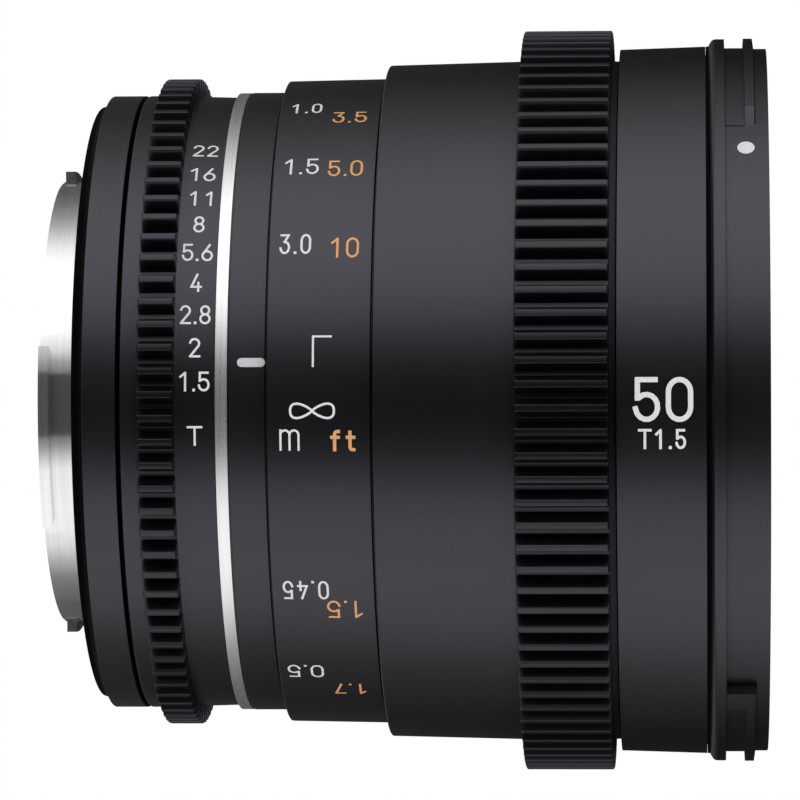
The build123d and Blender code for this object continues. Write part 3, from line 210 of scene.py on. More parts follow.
def gear(name, sides, teeth, tooth_angle, root, inner, body):
    """A ring of straight-sided teeth: r is the lesser of the ring's outline and the tooth's radius.

    sides is the outline's (x, r) from its rear foot over the land to its front foot. The tooth's
    radius is the root's in a gap, rises in a straight line up the flank and is the land's on top.
    Its edges are rounded by the steps above.
    """
    top = max(r for _, r in sides)
    pitch = MODULE * teeth / 2
    half_gap = pi * MODULE / 4
    slope = tan(radians(PRESSURE_ANGLE))
    root_half = half_gap - (pitch - root) * slope
    levels = np.linspace(root, top, 6)
    flank = [(root_half + (level - root) * slope, level) for level in levels]
    land_half = flank[-1][0]
    profile = [(0, root), *[(root_half + across, root + up) for across, up in ROOT_EDGE]]
    profile += [*flank[1:-1], *[(land_half + across, top + up) for across, up in LAND_EDGE]]
    half_tooth = 180 / teeth
    half = [(degrees(across / radius), radius) for across, radius in profile] + [(half_tooth, top)]
    whole = half + [(2 * half_tooth - angle, radius) for angle, radius in half[-2:0:-1]]
    starts = tooth_angle + half_tooth + 2 * half_tooth * np.arange(teeth)
    turn = np.radians(starts[:, None] + np.array([angle for angle, _ in whole])).ravel()
    tooth = np.tile([radius for _, radius in whole], teeth)
    (rear, rear_foot), (rear_top, _), (front_top, _), (front, front_foot) = sides

    def side(foot_x, foot, top_x):
        """Points up one side of the ring, one at each level of the flank and one near its edge."""
        inside = [level for level in levels[:-1] if foot < level < top - FREE_TOP]
        heights = sorted({foot, *inside, top - LAST_LEVEL})
        return [(foot_x + (top_x - foot_x) * (h - foot) / (top - foot), h) for h in heights]

    rows = [(rear, inner), *side(rear, rear_foot, rear_top)]
    rows += [(rear_top + along, top + up) for along, up in END_EDGE]
    rows += [(front_top - along, top + up) for along, up in END_EDGE[::-1]]
    rows += [*side(front, front_foot, front_top)[::-1], (front, inner)]
    rows = np.array(rows)
    r = np.minimum(rows[:, 1:], tooth[None, :])
    points = around(rows[:, :1], r, turn[None, :])
    faces = [grid_faces(len(rows), len(turn))]
    return closed_mesh(name, points, faces, GEAR_BLACK, body, 24)


# ---- Numbers and marks

def arc(centre_x, centre_y, width, height, start, end, count=14):
    """Points along an arc of an ellipse, from a start angle to an end angle in degrees."""
    turn = np.radians(np.linspace(start, end, count))
    return list(zip(centre_x + width * np.cos(turn), centre_y + height * np.sin(turn)))


# The far mark: one turn of a cosine along it, and two turns of a sine across it, made fuller
loop_turn = np.linspace(0, 2 * pi, 97)
loop_height = np.sign(np.sin(2 * loop_turn)) * np.abs(np.sin(2 * loop_turn)) ** 0.8

# A point is wider than a stroke by this factor, and a 1 keeps this share of the height free beside it
POINT_SWELL = 1.2
ROOM_BESIDE_ONE = 0.17

# Centre lines of the characters, on a height of 1, with each one's width
STROKES = {
    "0": (0.55, [arc(0.275, 0.69, 0.275, 0.31, 0, 180) + arc(0.275, 0.31, 0.275, 0.31, 180, 360)
                 + [(0.55, 0.69)]]),
    "1": (0.27, [[(0, 0.77), (0.27, 1), (0.27, 0)]]),
    "2": (0.55, [arc(0.27, 0.735, 0.265, 0.265, 168, -36) + [(0.01, 0), (0.55, 0)]]),
    "3": (0.54, [[(0.03, 1), (0.5, 1), (0.24, 0.62)] + arc(0.265, 0.31, 0.275, 0.31, 90, -172)]),
    "4": (0.56, [[(0.33, 1), (0, 0.25), (0.56, 0.25)], [(0.41, 0.5), (0.41, 0)]]),
    "5": (0.54, [[(0.49, 1), (0.05, 1), (0.05, 0.54)] + arc(0.275, 0.315, 0.275, 0.315, 132, -172)]),
    "6": (0.55, [arc(0.275, 0.29, 0.275, 0.29, 0, 360, 28), [(0.4, 1), (0.03, 0.4)]]),
    "7": (0.54, [[(0, 1), (0.54, 1), (0.17, 0)]]),
    "8": (0.55, [arc(0.275, 0.76, 0.235, 0.24, 0, 360, 28),
                 arc(0.275, 0.26, 0.275, 0.26, 0, 360, 28)]),
    "T": (0.74, [[(0, 1), (0.74, 1)], [(0.37, 1), (0.37, 0)]]),
    "f": (0.46, [[(0.19, 0), (0.19, 0.8)] + arc(0.36, 0.8, 0.17, 0.2, 180, 90) + [(0.46, 1)],
                 [(0, 0.68), (0.44, 0.68)]]),
    "t": (0.46, [[(0.18, 0.96), (0.18, 0.18)] + arc(0.34, 0.18, 0.16, 0.18, 180, 270)
                 + [(0.44, 0)], [(0, 0.68), (0.44, 0.68)]]),
    "m": (0.94, [[(0, 0), (0, 1)],
                 arc(0.235, 0.76, 0.235, 0.24, 180, 0) + [(0.47, 0)],
                 arc(0.705, 0.76, 0.235, 0.24, 180, 0) + [(0.94, 0)]]),
    "loop": (2.95, [list(zip(1.475 + 1.475 * np.cos(loop_turn), 0.5 + 0.5 * loop_height))]),
    "corner": (0.62, [[(0, 0), (0, 1), (0.62, 1)]]),
    ".": (0, [[(0, 0), (0, 0.004)]]),
}


def strokes_of(text, height, length, stroke, gap):
    """The centre lines of a line of characters about its middle, and the half width of each.

    The characters are widened alike, so that the whole line is as long as wanted. A 1 keeps more
    room on both of its sides, as figures of one width do, but not after a T.
    """
    tall = height - stroke
    halves = [stroke / 2 * (POINT_SWELL if character == "." else 1) for character in text]
    gaps = []
    for first, second in zip(text, text[1:]):
        ones = (first == "1") + (second == "1" and first != "T")
        gaps.append(gap + height * ones * ROOM_BESIDE_ONE)
    drawn = sum(STROKES[character][0] for character in text)
    widen = (length - 2 * sum(halves) - sum(gaps)) / (drawn * tall)
    cursor = -length / 2
    lines = []
    for character, half, space in zip(text, halves, [*gaps, 0]):
        width, paths = STROKES[character]
        for line in paths:
            scaled = [(cursor + half + x * tall * widen, y * tall - tall / 2) for x, y in line]
            lines.append((np.array(scaled) + (0, half - stroke / 2), half))
        cursor += width * tall * widen + 2 * half + space
    return lines


def square_ends(line):
    """Which segments of a line have a square start and which a square end.

    They are square at the line's two ends and at corners near a right angle, and round elsewhere.
    """
    along = np.diff(line, axis=0)
    turn = np.arctan2(*(along.T)[::-1])
    bend = np.abs((np.diff(turn) + pi) % (2 * pi) - pi)
    corner = (bend > SQUARE_TURN[0]) & (bend < SQUARE_TURN[1])
    closed = np.allclose(line[0], line[-1])
    return np.concatenate([[not closed], corner]), np.concatenate([corner, [not closed]])


def lettering(name, text, x, angle, surface, material, body, height, length, stroke, gap=0.38,
              upside_down=False):
    """Painted characters bent onto a ring, a thin closed layer on its surface.

    A flat grid keeps the cells whose middle is nearer to a centre line than half the stroke, with
    the ends of lines cut square. Its edge points are drawn along the distance's slope onto the
    exact edge. Then x is the place along the line, the turn is the height over the ring's radius,
    and the radius is the ring's, with the layer's upper side just over it and its lower side just
    under.
    """
    lines = strokes_of(text, height, length, stroke, gap)
    starts = np.concatenate([line[:-1] for line, _ in lines])
    ends = np.concatenate([line[1:] for line, _ in lines])
    halves = np.concatenate([np.full(len(line) - 1, half) for line, half in lines])
    square_start, square_end = np.concatenate([square_ends(line) for line, _ in lines], axis=1)
    along = ends - starts
    squared = np.maximum((along**2).sum(1), 1e-12)
    long = np.sqrt(squared)

    def distance(points):
        """How far each point lies outside the nearest stroke, negative inside it."""
        offset = points[:, None, :] - starts[None, :, :]
        share = (offset * along).sum(2) / squared
        near = offset - np.clip(share, 0, 1)[..., None] * along
        beyond = np.maximum(-share, share - 1) * long
        across = np.abs(offset[..., 0] * along[:, 1] - offset[..., 1] * along[:, 0]) / long
        is_square = ((share < 0) & square_start) | ((share > 1) & square_end)
        gaps = np.where(is_square, np.maximum(across, beyond), np.linalg.norm(near, axis=2))
        return (gaps - halves).min(1)

    cell = stroke / CELLS_ACROSS
    low = np.minimum(starts, ends).min(0) - stroke
    count = np.ceil((np.maximum(starts, ends).max(0) + stroke - low) / cell).astype(int) + 1
    across, up = np.meshgrid(low[0] + cell * np.arange(count[0]), low[1] + cell * np.arange(count[1]))
    flat = np.stack([across.ravel(), up.ravel()], axis=1)
    quads = grid_faces(count[1], count[0], False, False)
    quads = quads[distance(flat[quads].mean(1)) < 0]
    directed = np.concatenate([quads[:, [first, (first + 1) % 4]] for first in range(4)])
    sides = np.sort(directed)
    _, where, times = np.unique(sides, axis=0, return_inverse=True, return_counts=True)
    rim = directed[times[where.ravel()] == 1]
    edge = np.unique(rim)
    step = cell * 0.02
    for _ in range(2):
        here = distance(flat[edge])
        slope_x = distance(flat[edge] + (step, 0)) - distance(flat[edge] - (step, 0))
        slope_y = distance(flat[edge] + (0, step)) - distance(flat[edge] - (0, step))
        slope = np.stack([slope_x, slope_y], axis=1) / (2 * step)
        steep = np.maximum((slope**2).sum(1), 0.2)[:, None]
        flat[edge] -= here[:, None] * slope / steep
    used, renumbered = np.unique(quads, return_inverse=True)
    quads = renumbered.reshape(-1, 4)
    rim = np.searchsorted(used, rim)
    flat = flat[used] * (-1 if upside_down else 1)
    place = x + flat[:, 0]
    radius = surface(place)
    turn = radians(angle) - flat[:, 1] / radius
    upper = around(place, radius + PAINT_RISE, turn)
    layers = np.concatenate([upper, around(place, radius - LETTER_SINK, turn)])
    total = len(used)
    walls = np.stack([rim[:, 1], rim[:, 0], rim[:, 0] + total, rim[:, 1] + total], axis=1)
    faces = [np.concatenate([quads, quads[:, ::-1] + total, walls])]
    return closed_mesh(name, layers, faces, material, body)


def slope_between(start, end):
    """The radius of a conical surface through two (x, r) points, as a function of x."""
    rise = (end[1] - start[1]) / (end[0] - start[0])
    return lambda x: start[1] + (x - start[0]) * rise


# ---- Finishes

class Wire:
    """An output of a tree's nodes that takes part in sums. Numbers alone are summed in Python."""

    def __init__(self, nodes, socket):
        self.nodes = nodes
        self.socket = socket

    def maths(self, operation, *operands):
        """The output of a Math node whose operands are given in order."""
        return self.nodes.node("ShaderNodeMath", {"operation": operation}, dict(enumerate(operands)))

    def __add__(self, other):
        return self.maths("ADD", self, other)

    def __radd__(self, other):
        return self.maths("ADD", other, self)

    def __sub__(self, other):
        return self.maths("SUBTRACT", self, other)

    def __rsub__(self, other):
        return self.maths("SUBTRACT", other, self)

    def __mul__(self, other):
        return self.maths("MULTIPLY", self, other)

    def __rmul__(self, other):
        return self.maths("MULTIPLY", other, self)

    def __truediv__(self, other):
        return self.maths("DIVIDE", self, other)

    def __rtruediv__(self, other):
        return self.maths("DIVIDE", other, self)

    def root(self):
        """The square root."""
        return self.maths("SQRT", self)

    def greater(self, other):
        """The greater of two values."""
        return self.maths("MAXIMUM", self, other)

    def between(self, low, high):
        """A smooth step from 0 at a low value to 1 at a high one."""
        settings = {"interpolation_type": "SMOOTHSTEP"}
        values = {"Value": self, "From Min": low, "From Max": high}
        return self.nodes.node("ShaderNodeMapRange", settings, values)


class Nodes:
    """A tree of shader nodes, all of them made by one method."""

    def __init__(self, tree):
        self.tree = tree

    def node(self, kind, settings, values, output=0):
        """One output of a new node of a kind, with its settings, and values or links by input."""
        made = self.tree.nodes.new(kind)
        for key, value in settings.items():
            setattr(made, key, value)
        for key, value in values.items():
            self.plug(made.inputs[key], value)
        return None if output is None else Wire(self, made.outputs[output])

    def plug(self, socket, value):
        """Links an output to an input, or writes a plain value into it."""
        if isinstance(value, Wire):
            self.tree.links.new(value.socket, socket)
        else:
            socket.default_value = value


class Finish(Nodes):
    """A material made of nodes on one surface shader, in millimetres of the piece's own frame."""

    def __init__(self, name, values):
        self.material = bpy.data.materials.new(name)
        self.material.use_nodes = True
        super().__init__(self.material.node_tree)
        self.surface = self.tree.nodes["Principled BSDF"]
        self.set(values)

    def set(self, values):
        """Links or values for the surface shader's inputs."""
        for key, value in values.items():
            self.plug(self.surface.inputs[key], value)

    def place(self):
        """The point's x, y and z in millimetres."""
        point = self.node("ShaderNodeTexCoord", {}, {}, "Object")
        apart = self.node("ShaderNodeVectorMath", {"operation": "SCALE"}, {0: point, "Scale": 1 / MM})
        split = self.node("ShaderNodeSeparateXYZ", {}, {0: apart})
        outputs = split.socket.node.outputs
        return [Wire(self, outputs[index]) for index in range(3)]

    def vector(self, x, y, z):
        """Three values as one vector."""
        return self.node("ShaderNodeCombineXYZ", {}, {0: x, 1: y, 2: z})

    def noise(self, x, y, z, detail=2.0, rough=0.5):
        """Noise from 0 to 1 at a place, whose grains are about one unit wide."""
        values = {"Vector": self.vector(x, y, z), "Scale": 1.0, "Detail": detail, "Roughness": rough}
        return self.node("ShaderNodeTexNoise", {}, values)

    def mix(self, share, first, second):
        """A colour between two, by a share."""
        settings = {"data_type": "RGBA"}
        return self.node("ShaderNodeMix", settings, {0: share, 6: first, 7: second}, 2)

    def bump(self, height, depth):
        """The surface's normal over a height of 0 to 1, whose full height is in millimetres."""
        values = {"Height": height, "Strength": 1.0, "Distance": depth * MM}
        return self.node("ShaderNodeBump", {}, values)


def rgb(red, green, blue):
    """A colour of a material, in linear light."""
    return (red, green, blue, 1)


def satin_black(name, shade, rough, shine, grain=0.0016):
    """Black anodised metal, fine-blasted: a small even grain, and slow cloudiness in its gloss."""
    finish = Finish(name, {"Specular IOR Level": shine, "Specular Tint": rgb(0.9, 0.86, 1.0)})
    x, y, z = finish.place()
    cloud = finish.noise(x * 0.11, y * 0.11, z * 0.11)
    fine = finish.noise(x * 9, y * 9, z * 9, 3.0)
    turning = finish.noise(x * 7, y * 0.12, z * 0.12, 1.0)
    dark = rgb(shade * 0.86, shade * 0.8, shade * 0.9)
    light = rgb(shade * 1.25, shade * 1.17, shade * 1.32)
    finish.set({
        "Base Color": finish.mix(fine.between(0.25, 0.75), dark, light),
        "Roughness": rough + (cloud - 0.5) * 0.05 + (fine - 0.5) * 0.08,
        "Normal": finish.bump(fine * 0.75 + turning * 0.25, grain),
    })
    return finish.material


def bright_metal(name, colour, rough, lines, grain):
    """Bright metal: turned lines round the axis at one strength and a blasted grain at another.

    A small part of it is not metal, as the dull bottom of the grain gives light back evenly.
    """
    finish = Finish(name, {"Metallic": 0.88})
    x, y, z = finish.place()
    turning = finish.noise(x * 6.5, y * 0.05, z * 0.05, 3.0, 0.6)
    broad = finish.noise(x * 0.9, y * 0.04, z * 0.04, 2.0)
    speckle = finish.noise(x * 12, y * 12, z * 12, 2.0)
    worn = rgb(*[part * 0.86 for part in colour])
    share = (turning * 0.6 + broad * 0.4).between(0.3, 0.7)
    finish.set({
        "Base Color": finish.mix(share, worn, rgb(*colour)),
        "Roughness": rough + (turning - 0.5) * 0.12 + (speckle - 0.5) * 0.1,
        "Normal": finish.bump(turning * lines + speckle * grain, 0.001),
    })
    return finish.material


def plain_paint(name, colour):
    """Screened paint: a thin even layer whose strength varies a little over its grain."""
    finish = Finish(name, {"Roughness": 0.5, "Specular IOR Level": 0.3})
    x, y, z = finish.place()
    grain = finish.noise(x * 8, y * 8, z * 8, 2.0)
    thin = rgb(*[part * 0.82 for part in colour])
    finish.set({
        "Base Color": finish.mix(grain.between(0.3, 0.6), thin, rgb(*colour)),
        "Normal": finish.bump(grain, 0.002),
    })
    return finish.material


def felt_cloth():
    """Black felt: short tangled fibres, dull, with a soft sheen."""
    finish = Finish("felt", {"Roughness": 0.95, "Specular IOR Level": 0.2, "Sheen Weight": 0.15})
    x, y, z = finish.place()
    fibres = finish.noise(x * 5, y * 5, z * 5, 6.0, 0.7)
    finish.set({
        "Base Color": finish.mix(fibres, rgb(0.004, 0.004, 0.004), rgb(0.02, 0.02, 0.021)),
        "Normal": finish.bump(fibres, 0.08),
    })
    return finish.material


def blade_steel():
    """Blackened spring steel: fine straight rolling lines across the leaf."""
    finish = Finish("blade", {"Metallic": 0.7})
    x, y, z = finish.place()
    lines = finish.noise(x * 0.5, (y + z) * 9, (y - z) * 0.4, 2.0)
    finish.set({
        "Base Color": finish.mix(lines, rgb(0.03, 0.031, 0.034), rgb(0.06, 0.062, 0.068)),
        "Roughness": 0.38 + (lines - 0.5) * 0.15,
        "Normal": finish.bump(lines, 0.002),
    })
    return finish.material


# The radius of glass at which its coating is deepest
WIDEST_GLASS = 24


def coated_glass(name, tint):
    """Optical glass with a coloured coating, which deepens a little towards the rim."""
    finish = Finish(name, {
        "Transmission Weight": 1.0, "Roughness": 0.0, "IOR": 1.6, "Specular Tint": rgb(*tint),
    })
    x, y, z = finish.place()
    rim = ((y * y + z * z).root() / WIDEST_GLASS).between(0.2, 1.0)
    finish.set({"Base Color": finish.mix(rim, rgb(0.985, 0.99, 0.98), rgb(0.95, 0.965, 0.955))})
    return finish.material


BLACK = satin_black("satin_black", 0.0026, 0.3, 0.55)
GEAR_BLACK = satin_black("gear_black", 0.002, 0.3, 0.45)
INNER_BLACK = satin_black("inner_black", 0.008, 0.45, 0.45)
# A near-black copy of the satin black with almost no gloss: painted shade on the rear barrel's rim
# and in the seam at the hood's foot
PAINTED_SHADE_BLACK = satin_black("painted_shade_black", 0.0008, 0.6, 0.02)
# A darker, less glossy copy of the satin black: painted shade on the focus ring's neck, in the slot
# before the front barrel
NECK_SHADE_BLACK = satin_black("neck_painted_shade_black", 0.0015, 0.4, 0.25)
MATT_BLACK = satin_black("matt_black", 0.008, 0.7, 0.3, 0.006)
STEEL = bright_metal("bayonet_steel", (0.66, 0.66, 0.665), 0.09, 0.5, 0.3)
SCREW_STEEL = bright_metal("screw_steel", (0.5, 0.49, 0.48), 0.28, 0.3, 0.2)
SILVER = bright_metal("silver_anodised", (0.66, 0.66, 0.665), 0.28, 0.06, 1.4)
BARE_METAL = bright_metal("bare_aluminium", (0.6, 0.6, 0.61), 0.3, 0.8, 0.1)
BRASS = bright_metal("key_brass", (0.62, 0.44, 0.2), 0.3, 0.5, 0.2)
WHITE = plain_paint("white_paint", (0.66, 0.66, 0.67))
INDEX_WHITE = plain_paint("index_paint", (0.5, 0.5, 0.51))
ORANGE = plain_paint("orange_paint", (0.66, 0.32, 0.13))
GLASS = coated_glass("glass_front", (0.55, 0.35, 0.85))
INNER_GLASS = coated_glass("glass_inner", (0.35, 0.6, 0.5))
REAR_GLASS = coated_glass("glass_rear", (0.8, 0.6, 0.35))
FELT = felt_cloth()
BLADE = blade_steel()
BUSH_STEEL = bright_metal("bush_steel", (0.55, 0.54, 0.53), 0.22, 0.5, 0.1)


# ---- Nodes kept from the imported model

# Their loose triangles are joined within this many metres and split again at edges past this angle
WELD_REACH = 2e-6
SHARP_EDGE = 28

KEPT = {
    STEEL: ["bayonet_mount"],
    SCREW_STEEL: [
        "mount_screws", "barrel_screws", "front_barrel_screws", "key_screws", "drive_screws",
        "cell_screws", "floor_screws", "iris_screws", "iris_fork",
    ],
    BRASS: ["guide_keys"],
    BARE_METAL: ["helicoid_sleeve", "helicoid_nut", "helicoid_retainer"],
    INNER_BLACK: ["main_barrel", "front_cell", "rear_cell", "iris_housing", "iris_cam_ring"],
    MATT_BLACK: [
        "rear_baffle", "front_spacer", "middle_spacer", "inner_retainer", "rear_spacer",
        "rear_retainer",
    ],
    BLADE: [f"iris_blade_{index}" for index in range(1, 10)],
    BUSH_STEEL: ["drive_bushes"],
}

for material, names in KEPT.items():
    for name in names:
        mesh = nodes[name].data
        mesh.materials.clear()
        mesh.materials.append(material)
        weld = nodes[name].modifiers.new("weld", "WELD")
        weld.merge_threshold = WELD_REACH
        split = nodes[name].modifiers.new("split", "EDGE_SPLIT")
        split.split_angle = radians(SHARP_EDGE)
        mesh.polygons.foreach_set("use_smooth", np.ones(len(mesh.polygons), bool))


# ---- Rings of the outside, from the camera to the subject

# The (x, r) ends of the cones that carry marks
IRIS_REAR = (11.85, 34.85)
IRIS_FRONT = (15.88, 34.72)
SCALE_REAR = (21.65, 36.55)
SCALE_FRONT = (32.82, 36.74)
BARREL_REAR = (59.22, 39.88)

# Each outline's rows are (x, r) and the radius of that corner. These are shared by several rows
MOUNT_BORE = 27.4
TUBE_BORE = 32.43
HOUSING_SEAT = 33.35
IRIS_BORE = 33.08
IRIS_LIP = 34.2
TRIM_BORE = 33.63
SCALE_BORE = 35.5
FOCUS_BORE = 34.68
GEAR_SEAT = 37.0
GEAR_BORE = 36.9
FRONT_BORE = 38.6
SPIGOT_BORE = 39.2
FRONT_SEAT = 39.23
FRONT_INNER = 29.6
TRIM_RADIUS = 35.23
INDEX_RADIUS = 35.26
IRIS_TEETH = 90
IRIS_TOOTH_ANGLE = 178.96
FOCUS_TEETH = 103
FOCUS_TOOTH_ANGLE = 181.21

housing = turned("rear_barrel", [
    (1.45, 33.3, 0), (1.45, 34.97, 0.05), (5.1, 34.97, 0.08), (5.1, 33.3, 0),
], BLACK, "lens_barrel")
# The rim and bore behind the rear barrel are in the near-black copy of the satin black, which is
# painted shade on the rim
housing_core = turned("rear_barrel_core", [
    (0.15, TUBE_BORE, 0), (0.15, 33.7, 0.15), (0.8, 33.9, 0.1), (1.47, 34.75, 0.05),
    (1.47, HOUSING_SEAT, 0), (5.08, HOUSING_SEAT, 0), (5.5, HOUSING_SEAT, 0.05), (5.5, 33.03, 0),
    (5.2, 33.03, 0), (5.2, MOUNT_BORE, 0), (2.4, MOUNT_BORE, 0), (2.4, TUBE_BORE, 0),
], PAINTED_SHADE_BLACK, "lens_barrel")
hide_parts("mount_housing")
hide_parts("mount_housing")

iris_body = turned("iris_ring_body", [
    (5.55, IRIS_BORE, 0), (5.55, 34.97, 0.16), (11.55, 34.94, 0), (*IRIS_REAR, 0.1),
    (*IRIS_FRONT, 0.05), (IRIS_FRONT[0], IRIS_LIP, 0), (15.2, IRIS_LIP, 0), (15.2, IRIS_BORE, 0),
], BLACK, "iris_group")
iris_sides = [(7.56, 34.97), (7.6, 36.87), (11.46, 36.87), (11.5, 34.92)]
iris_gear = gear(
    "iris_ring_gear", iris_sides, IRIS_TEETH, IRIS_TOOTH_ANGLE, 35.0, IRIS_LIP, "iris_group"
)
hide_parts("iris_ring")
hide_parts("iris_ring")

trim = turned("silver_ring", [
    (15.3, TRIM_BORE, 0), (15.3, 34.1, 0.04), (15.93, 34.1, 0), (15.93, TRIM_RADIUS, 0.05),
    (17.25, TRIM_RADIUS, 0.06), (17.25, TRIM_BORE, 0),
], SILVER, "lens_barrel")
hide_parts("trim_ring")

index = turned("index_ring_body", [
    (17.25, TRIM_BORE, 0), (17.25, 34.9, 0), (17.42, 34.9, 0), (17.42, INDEX_RADIUS, 0.06),
    (21.35, INDEX_RADIUS, 0.06), (21.35, TRIM_BORE, 0),
], BLACK, "lens_barrel")
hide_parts("index_ring")

scale_ring = turned("scale_ring", [
    (SCALE_REAR[0], SCALE_BORE, 0), (*SCALE_REAR, 0.1), (*SCALE_FRONT, 0.08),
    (SCALE_FRONT[0], SCALE_BORE, 0),
], BLACK, "focus_group")
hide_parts("distance_scale_ring")

focus_body = turned("focus_ring_body", [
    (21.65, FOCUS_BORE, 0), (21.65, 35.45, 0.05), (32.9, 35.45, 0), (33.08, 35.6, 0),
    (33.08, 38.26, 0.2), (48.3, 38.62, 0.05), (48.3, GEAR_SEAT, 0), (58.5, GEAR_SEAT, 0),
    (58.5, FOCUS_BORE, 0),
], BLACK, "focus_group")
focus_sides = [(48.33, 38.8), (48.38, 42.04), (58.34, 42.04), (58.42, 38.8)]
focus_gear = gear(
    "focus_ring_gear", focus_sides, FOCUS_TEETH, FOCUS_TOOTH_ANGLE, 40.2, GEAR_BORE, "focus_group"
)
# The neck between the focus ring's teeth and the front barrel is in the darker copy of the satin
# black: painted shade in that slot
focus_neck = turned("focus_ring_neck", [
    (58.2, FOCUS_BORE, 0), (58.2, 38.6, 0), (59.13, 38.55, 0.05), (59.13, FOCUS_BORE, 0),
], NECK_SHADE_BLACK, "focus_group")
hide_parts("focus_ring")
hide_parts("focus_ring")
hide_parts("focus_ring")

barrel = turned("front_barrel_body", [
    (BARREL_REAR[0], FRONT_INNER, 0), (*BARREL_REAR, 0.04), (68.82, 40.17, 0.03),
    (68.82, FRONT_SEAT, 0), (66.65, FRONT_SEAT, 0), (66.65, FRONT_BORE, 0), (61.5, FRONT_BORE, 0),
    (61.5, FRONT_INNER, 0),
], BLACK, "lens_barrel")
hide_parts("front_barrel")

# The hood's bayonet: angles in degrees, heights over the spigot, and places along the axis
HOOD_LUGS = (51.4, 231.4)
LUG_ARC = 80.4
LUG_RAMP = 2.8
STOP_ARC = 4.4
NOTCH_ARC = 1.0
SPIGOT_RADIUS = 39.87
PAD_RISE = 0.1
LUG_RISE = 1.17
NOTCH_DEPTH = 0.3
SPIGOT_REAR = 70.93
LUG_REAR = 73.08
LUG_FRONT = 74.08
LUG_FRONT_SLOPE = 0.16

# The filter thread
THREAD_BORE = 38.09
THREAD_PITCH = 0.75
THREAD_DEPTH = 0.36
THREAD_ENDS = (71.3, 75.55)


def hood_shape(x, r, angle):
    """Adds the lugs and the filter thread to the hood ring's grid.

    Outside, the radius is the greatest of the ring's, the pad's and the lug's at that angle, with
    each one's edges sloped over a short way. In the notch it is a little less than the spigot's.
    Inside, the thread moves the radius by a wave along x, one pitch on for each turn, that fades
    at both ends.
    """
    def inside(value, low, high, slope, last_slope=None):
        """A share that is 1 from a low to a high value and falls to 0 outside over the slopes."""
        rise = np.clip((value - low) / slope + 1, 0, 1)
        fall = np.clip((high - value) / (last_slope or slope) + 1, 0, 1)
        return np.minimum(rise, fall)

    r = np.array(r)
    outer = (r > 39.8) & (x > 70.95)
    for start in HOOD_LUGS:
        local = (angle - start + 180) % 360 - 180
        pad = inside(local, 0, LUG_ARC, 0.1) * inside(x, SPIGOT_REAR, LUG_REAR, 0.05)
        ramp = np.clip((LUG_ARC - local) / LUG_RAMP, 0, 1)
        lug = inside(local, 0, LUG_ARC, 0.1) * inside(x, LUG_REAR, LUG_FRONT, 0.03, LUG_FRONT_SLOPE)
        lug = lug * np.where(local > LUG_ARC - LUG_RAMP, ramp, 1)
        stop = inside(local, 0, STOP_ARC, 0.1)
        stop = stop * inside(x, SPIGOT_REAR, LUG_FRONT, 0.03, LUG_FRONT_SLOPE)
        risen = np.maximum(PAD_RISE * pad, LUG_RISE * np.maximum(lug, stop))
        raised = SPIGOT_RADIUS + risen
        r = np.where(outer & (raised > r) & (risen > 0.001), raised, r)
        notch = inside(local, -NOTCH_ARC, 0, 0.1) * inside(x, 71.08, 74.13, 0.05)
        lowered = np.minimum(r, SPIGOT_RADIUS - NOTCH_DEPTH * notch)
        r = np.where(outer & (notch > 0), lowered, r)
    thread = (r < 38.2) & (x > 71.25)
    turns = x / THREAD_PITCH - angle / 360
    wave = np.clip(1.5 - 3 * np.abs(turns % 1 - 0.5), 0, 1)
    first, last = THREAD_ENDS
    fade = np.clip((x - first) / 0.35, 0, 1) * np.clip((last - x) / 0.25, 0, 1)
    r = np.where(thread, r + THREAD_DEPTH * wave * fade, r)
    return x, r


# Rows of the grid along the spigot and the thread, close together where the shape bends
spigot_places = np.concatenate([
    [70.99, 71.03, 71.08, 71.14, 71.4], np.linspace(71.7, 72.95, 4),
    [73.03, 73.05, 73.08, 73.11, 73.15, 73.4, 73.75, 74.02, 74.08, 74.11, 74.13, 74.16, 74.18],
    [74.24, 74.3, 74.7],
])
thread_places = np.linspace(75.52, 71.28, 58)

# The grid's angles, with more of them where a lug, stop or notch starts or ends
hood_angles = np.arange(STEPS) * 360 / STEPS
for start in HOOD_LUGS:
    breaks = (0, STOP_ARC, LUG_ARC - LUG_RAMP, LUG_ARC, -NOTCH_ARC)
    nearby = (-0.12, -0.08, -0.02, 0.02, 0.08, 0.12)
    extra = [start + place + step for place in breaks for step in nearby]
    hood_angles = np.concatenate([hood_angles, extra])
hood_angles = np.unique(np.round(hood_angles % 360, 4))
hood_angles = hood_angles[np.concatenate([[True], np.diff(hood_angles) > 0.015])]
hood = turned("hood_ring_body", [
    (66.68, FRONT_BORE, 0), (66.68, SPIGOT_BORE, 0), (69.2, SPIGOT_BORE, 0), (69.2, 40.3, 0),
    (69.62, 41.0, 0.7), (SPIGOT_REAR, 41.0, 0.06), (SPIGOT_REAR, SPIGOT_RADIUS, 0.02),
    *[(x, SPIGOT_RADIUS, 0) for x in spigot_places],
    (75.6, SPIGOT_RADIUS, 0), (75.65, 39.82, 0.02), (75.65, THREAD_BORE, 0.08),
    *[(x, THREAD_BORE, 0) for x in thread_places],
    (71.2, THREAD_BORE, 0.02), (71.2, FRONT_BORE, 0),
], BLACK, "lens_barrel", shape=hood_shape, angles=hood_angles)
# The hood's foot, in the seam between the front barrel and the hood, is in the near-black copy:
# painted shade in the seam
hood_foot = turned("hood_ring_foot", [
    (68.86, SPIGOT_BORE, 0), (68.86, 40.17, 0.03), (69.25, 40.2, 0), (69.25, SPIGOT_BORE, 0),
], PAINTED_SHADE_BLACK, "lens_barrel")
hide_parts("hood_ring")
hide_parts("hood_ring")


# ---- The moving front: shroud, seal, name ring and retainer

SHROUD_BORE = 25.53
SHROUD_RIM = 37.5
RING_BACK = 62.5
NAME_BORE = 25.5
NAME_RIM = 36.25
NAME_FACE = ((62.83, 24.4), (63.8, 35.45))
STEP_DEPTH = 0.12
STEPS_EACH = 1.25

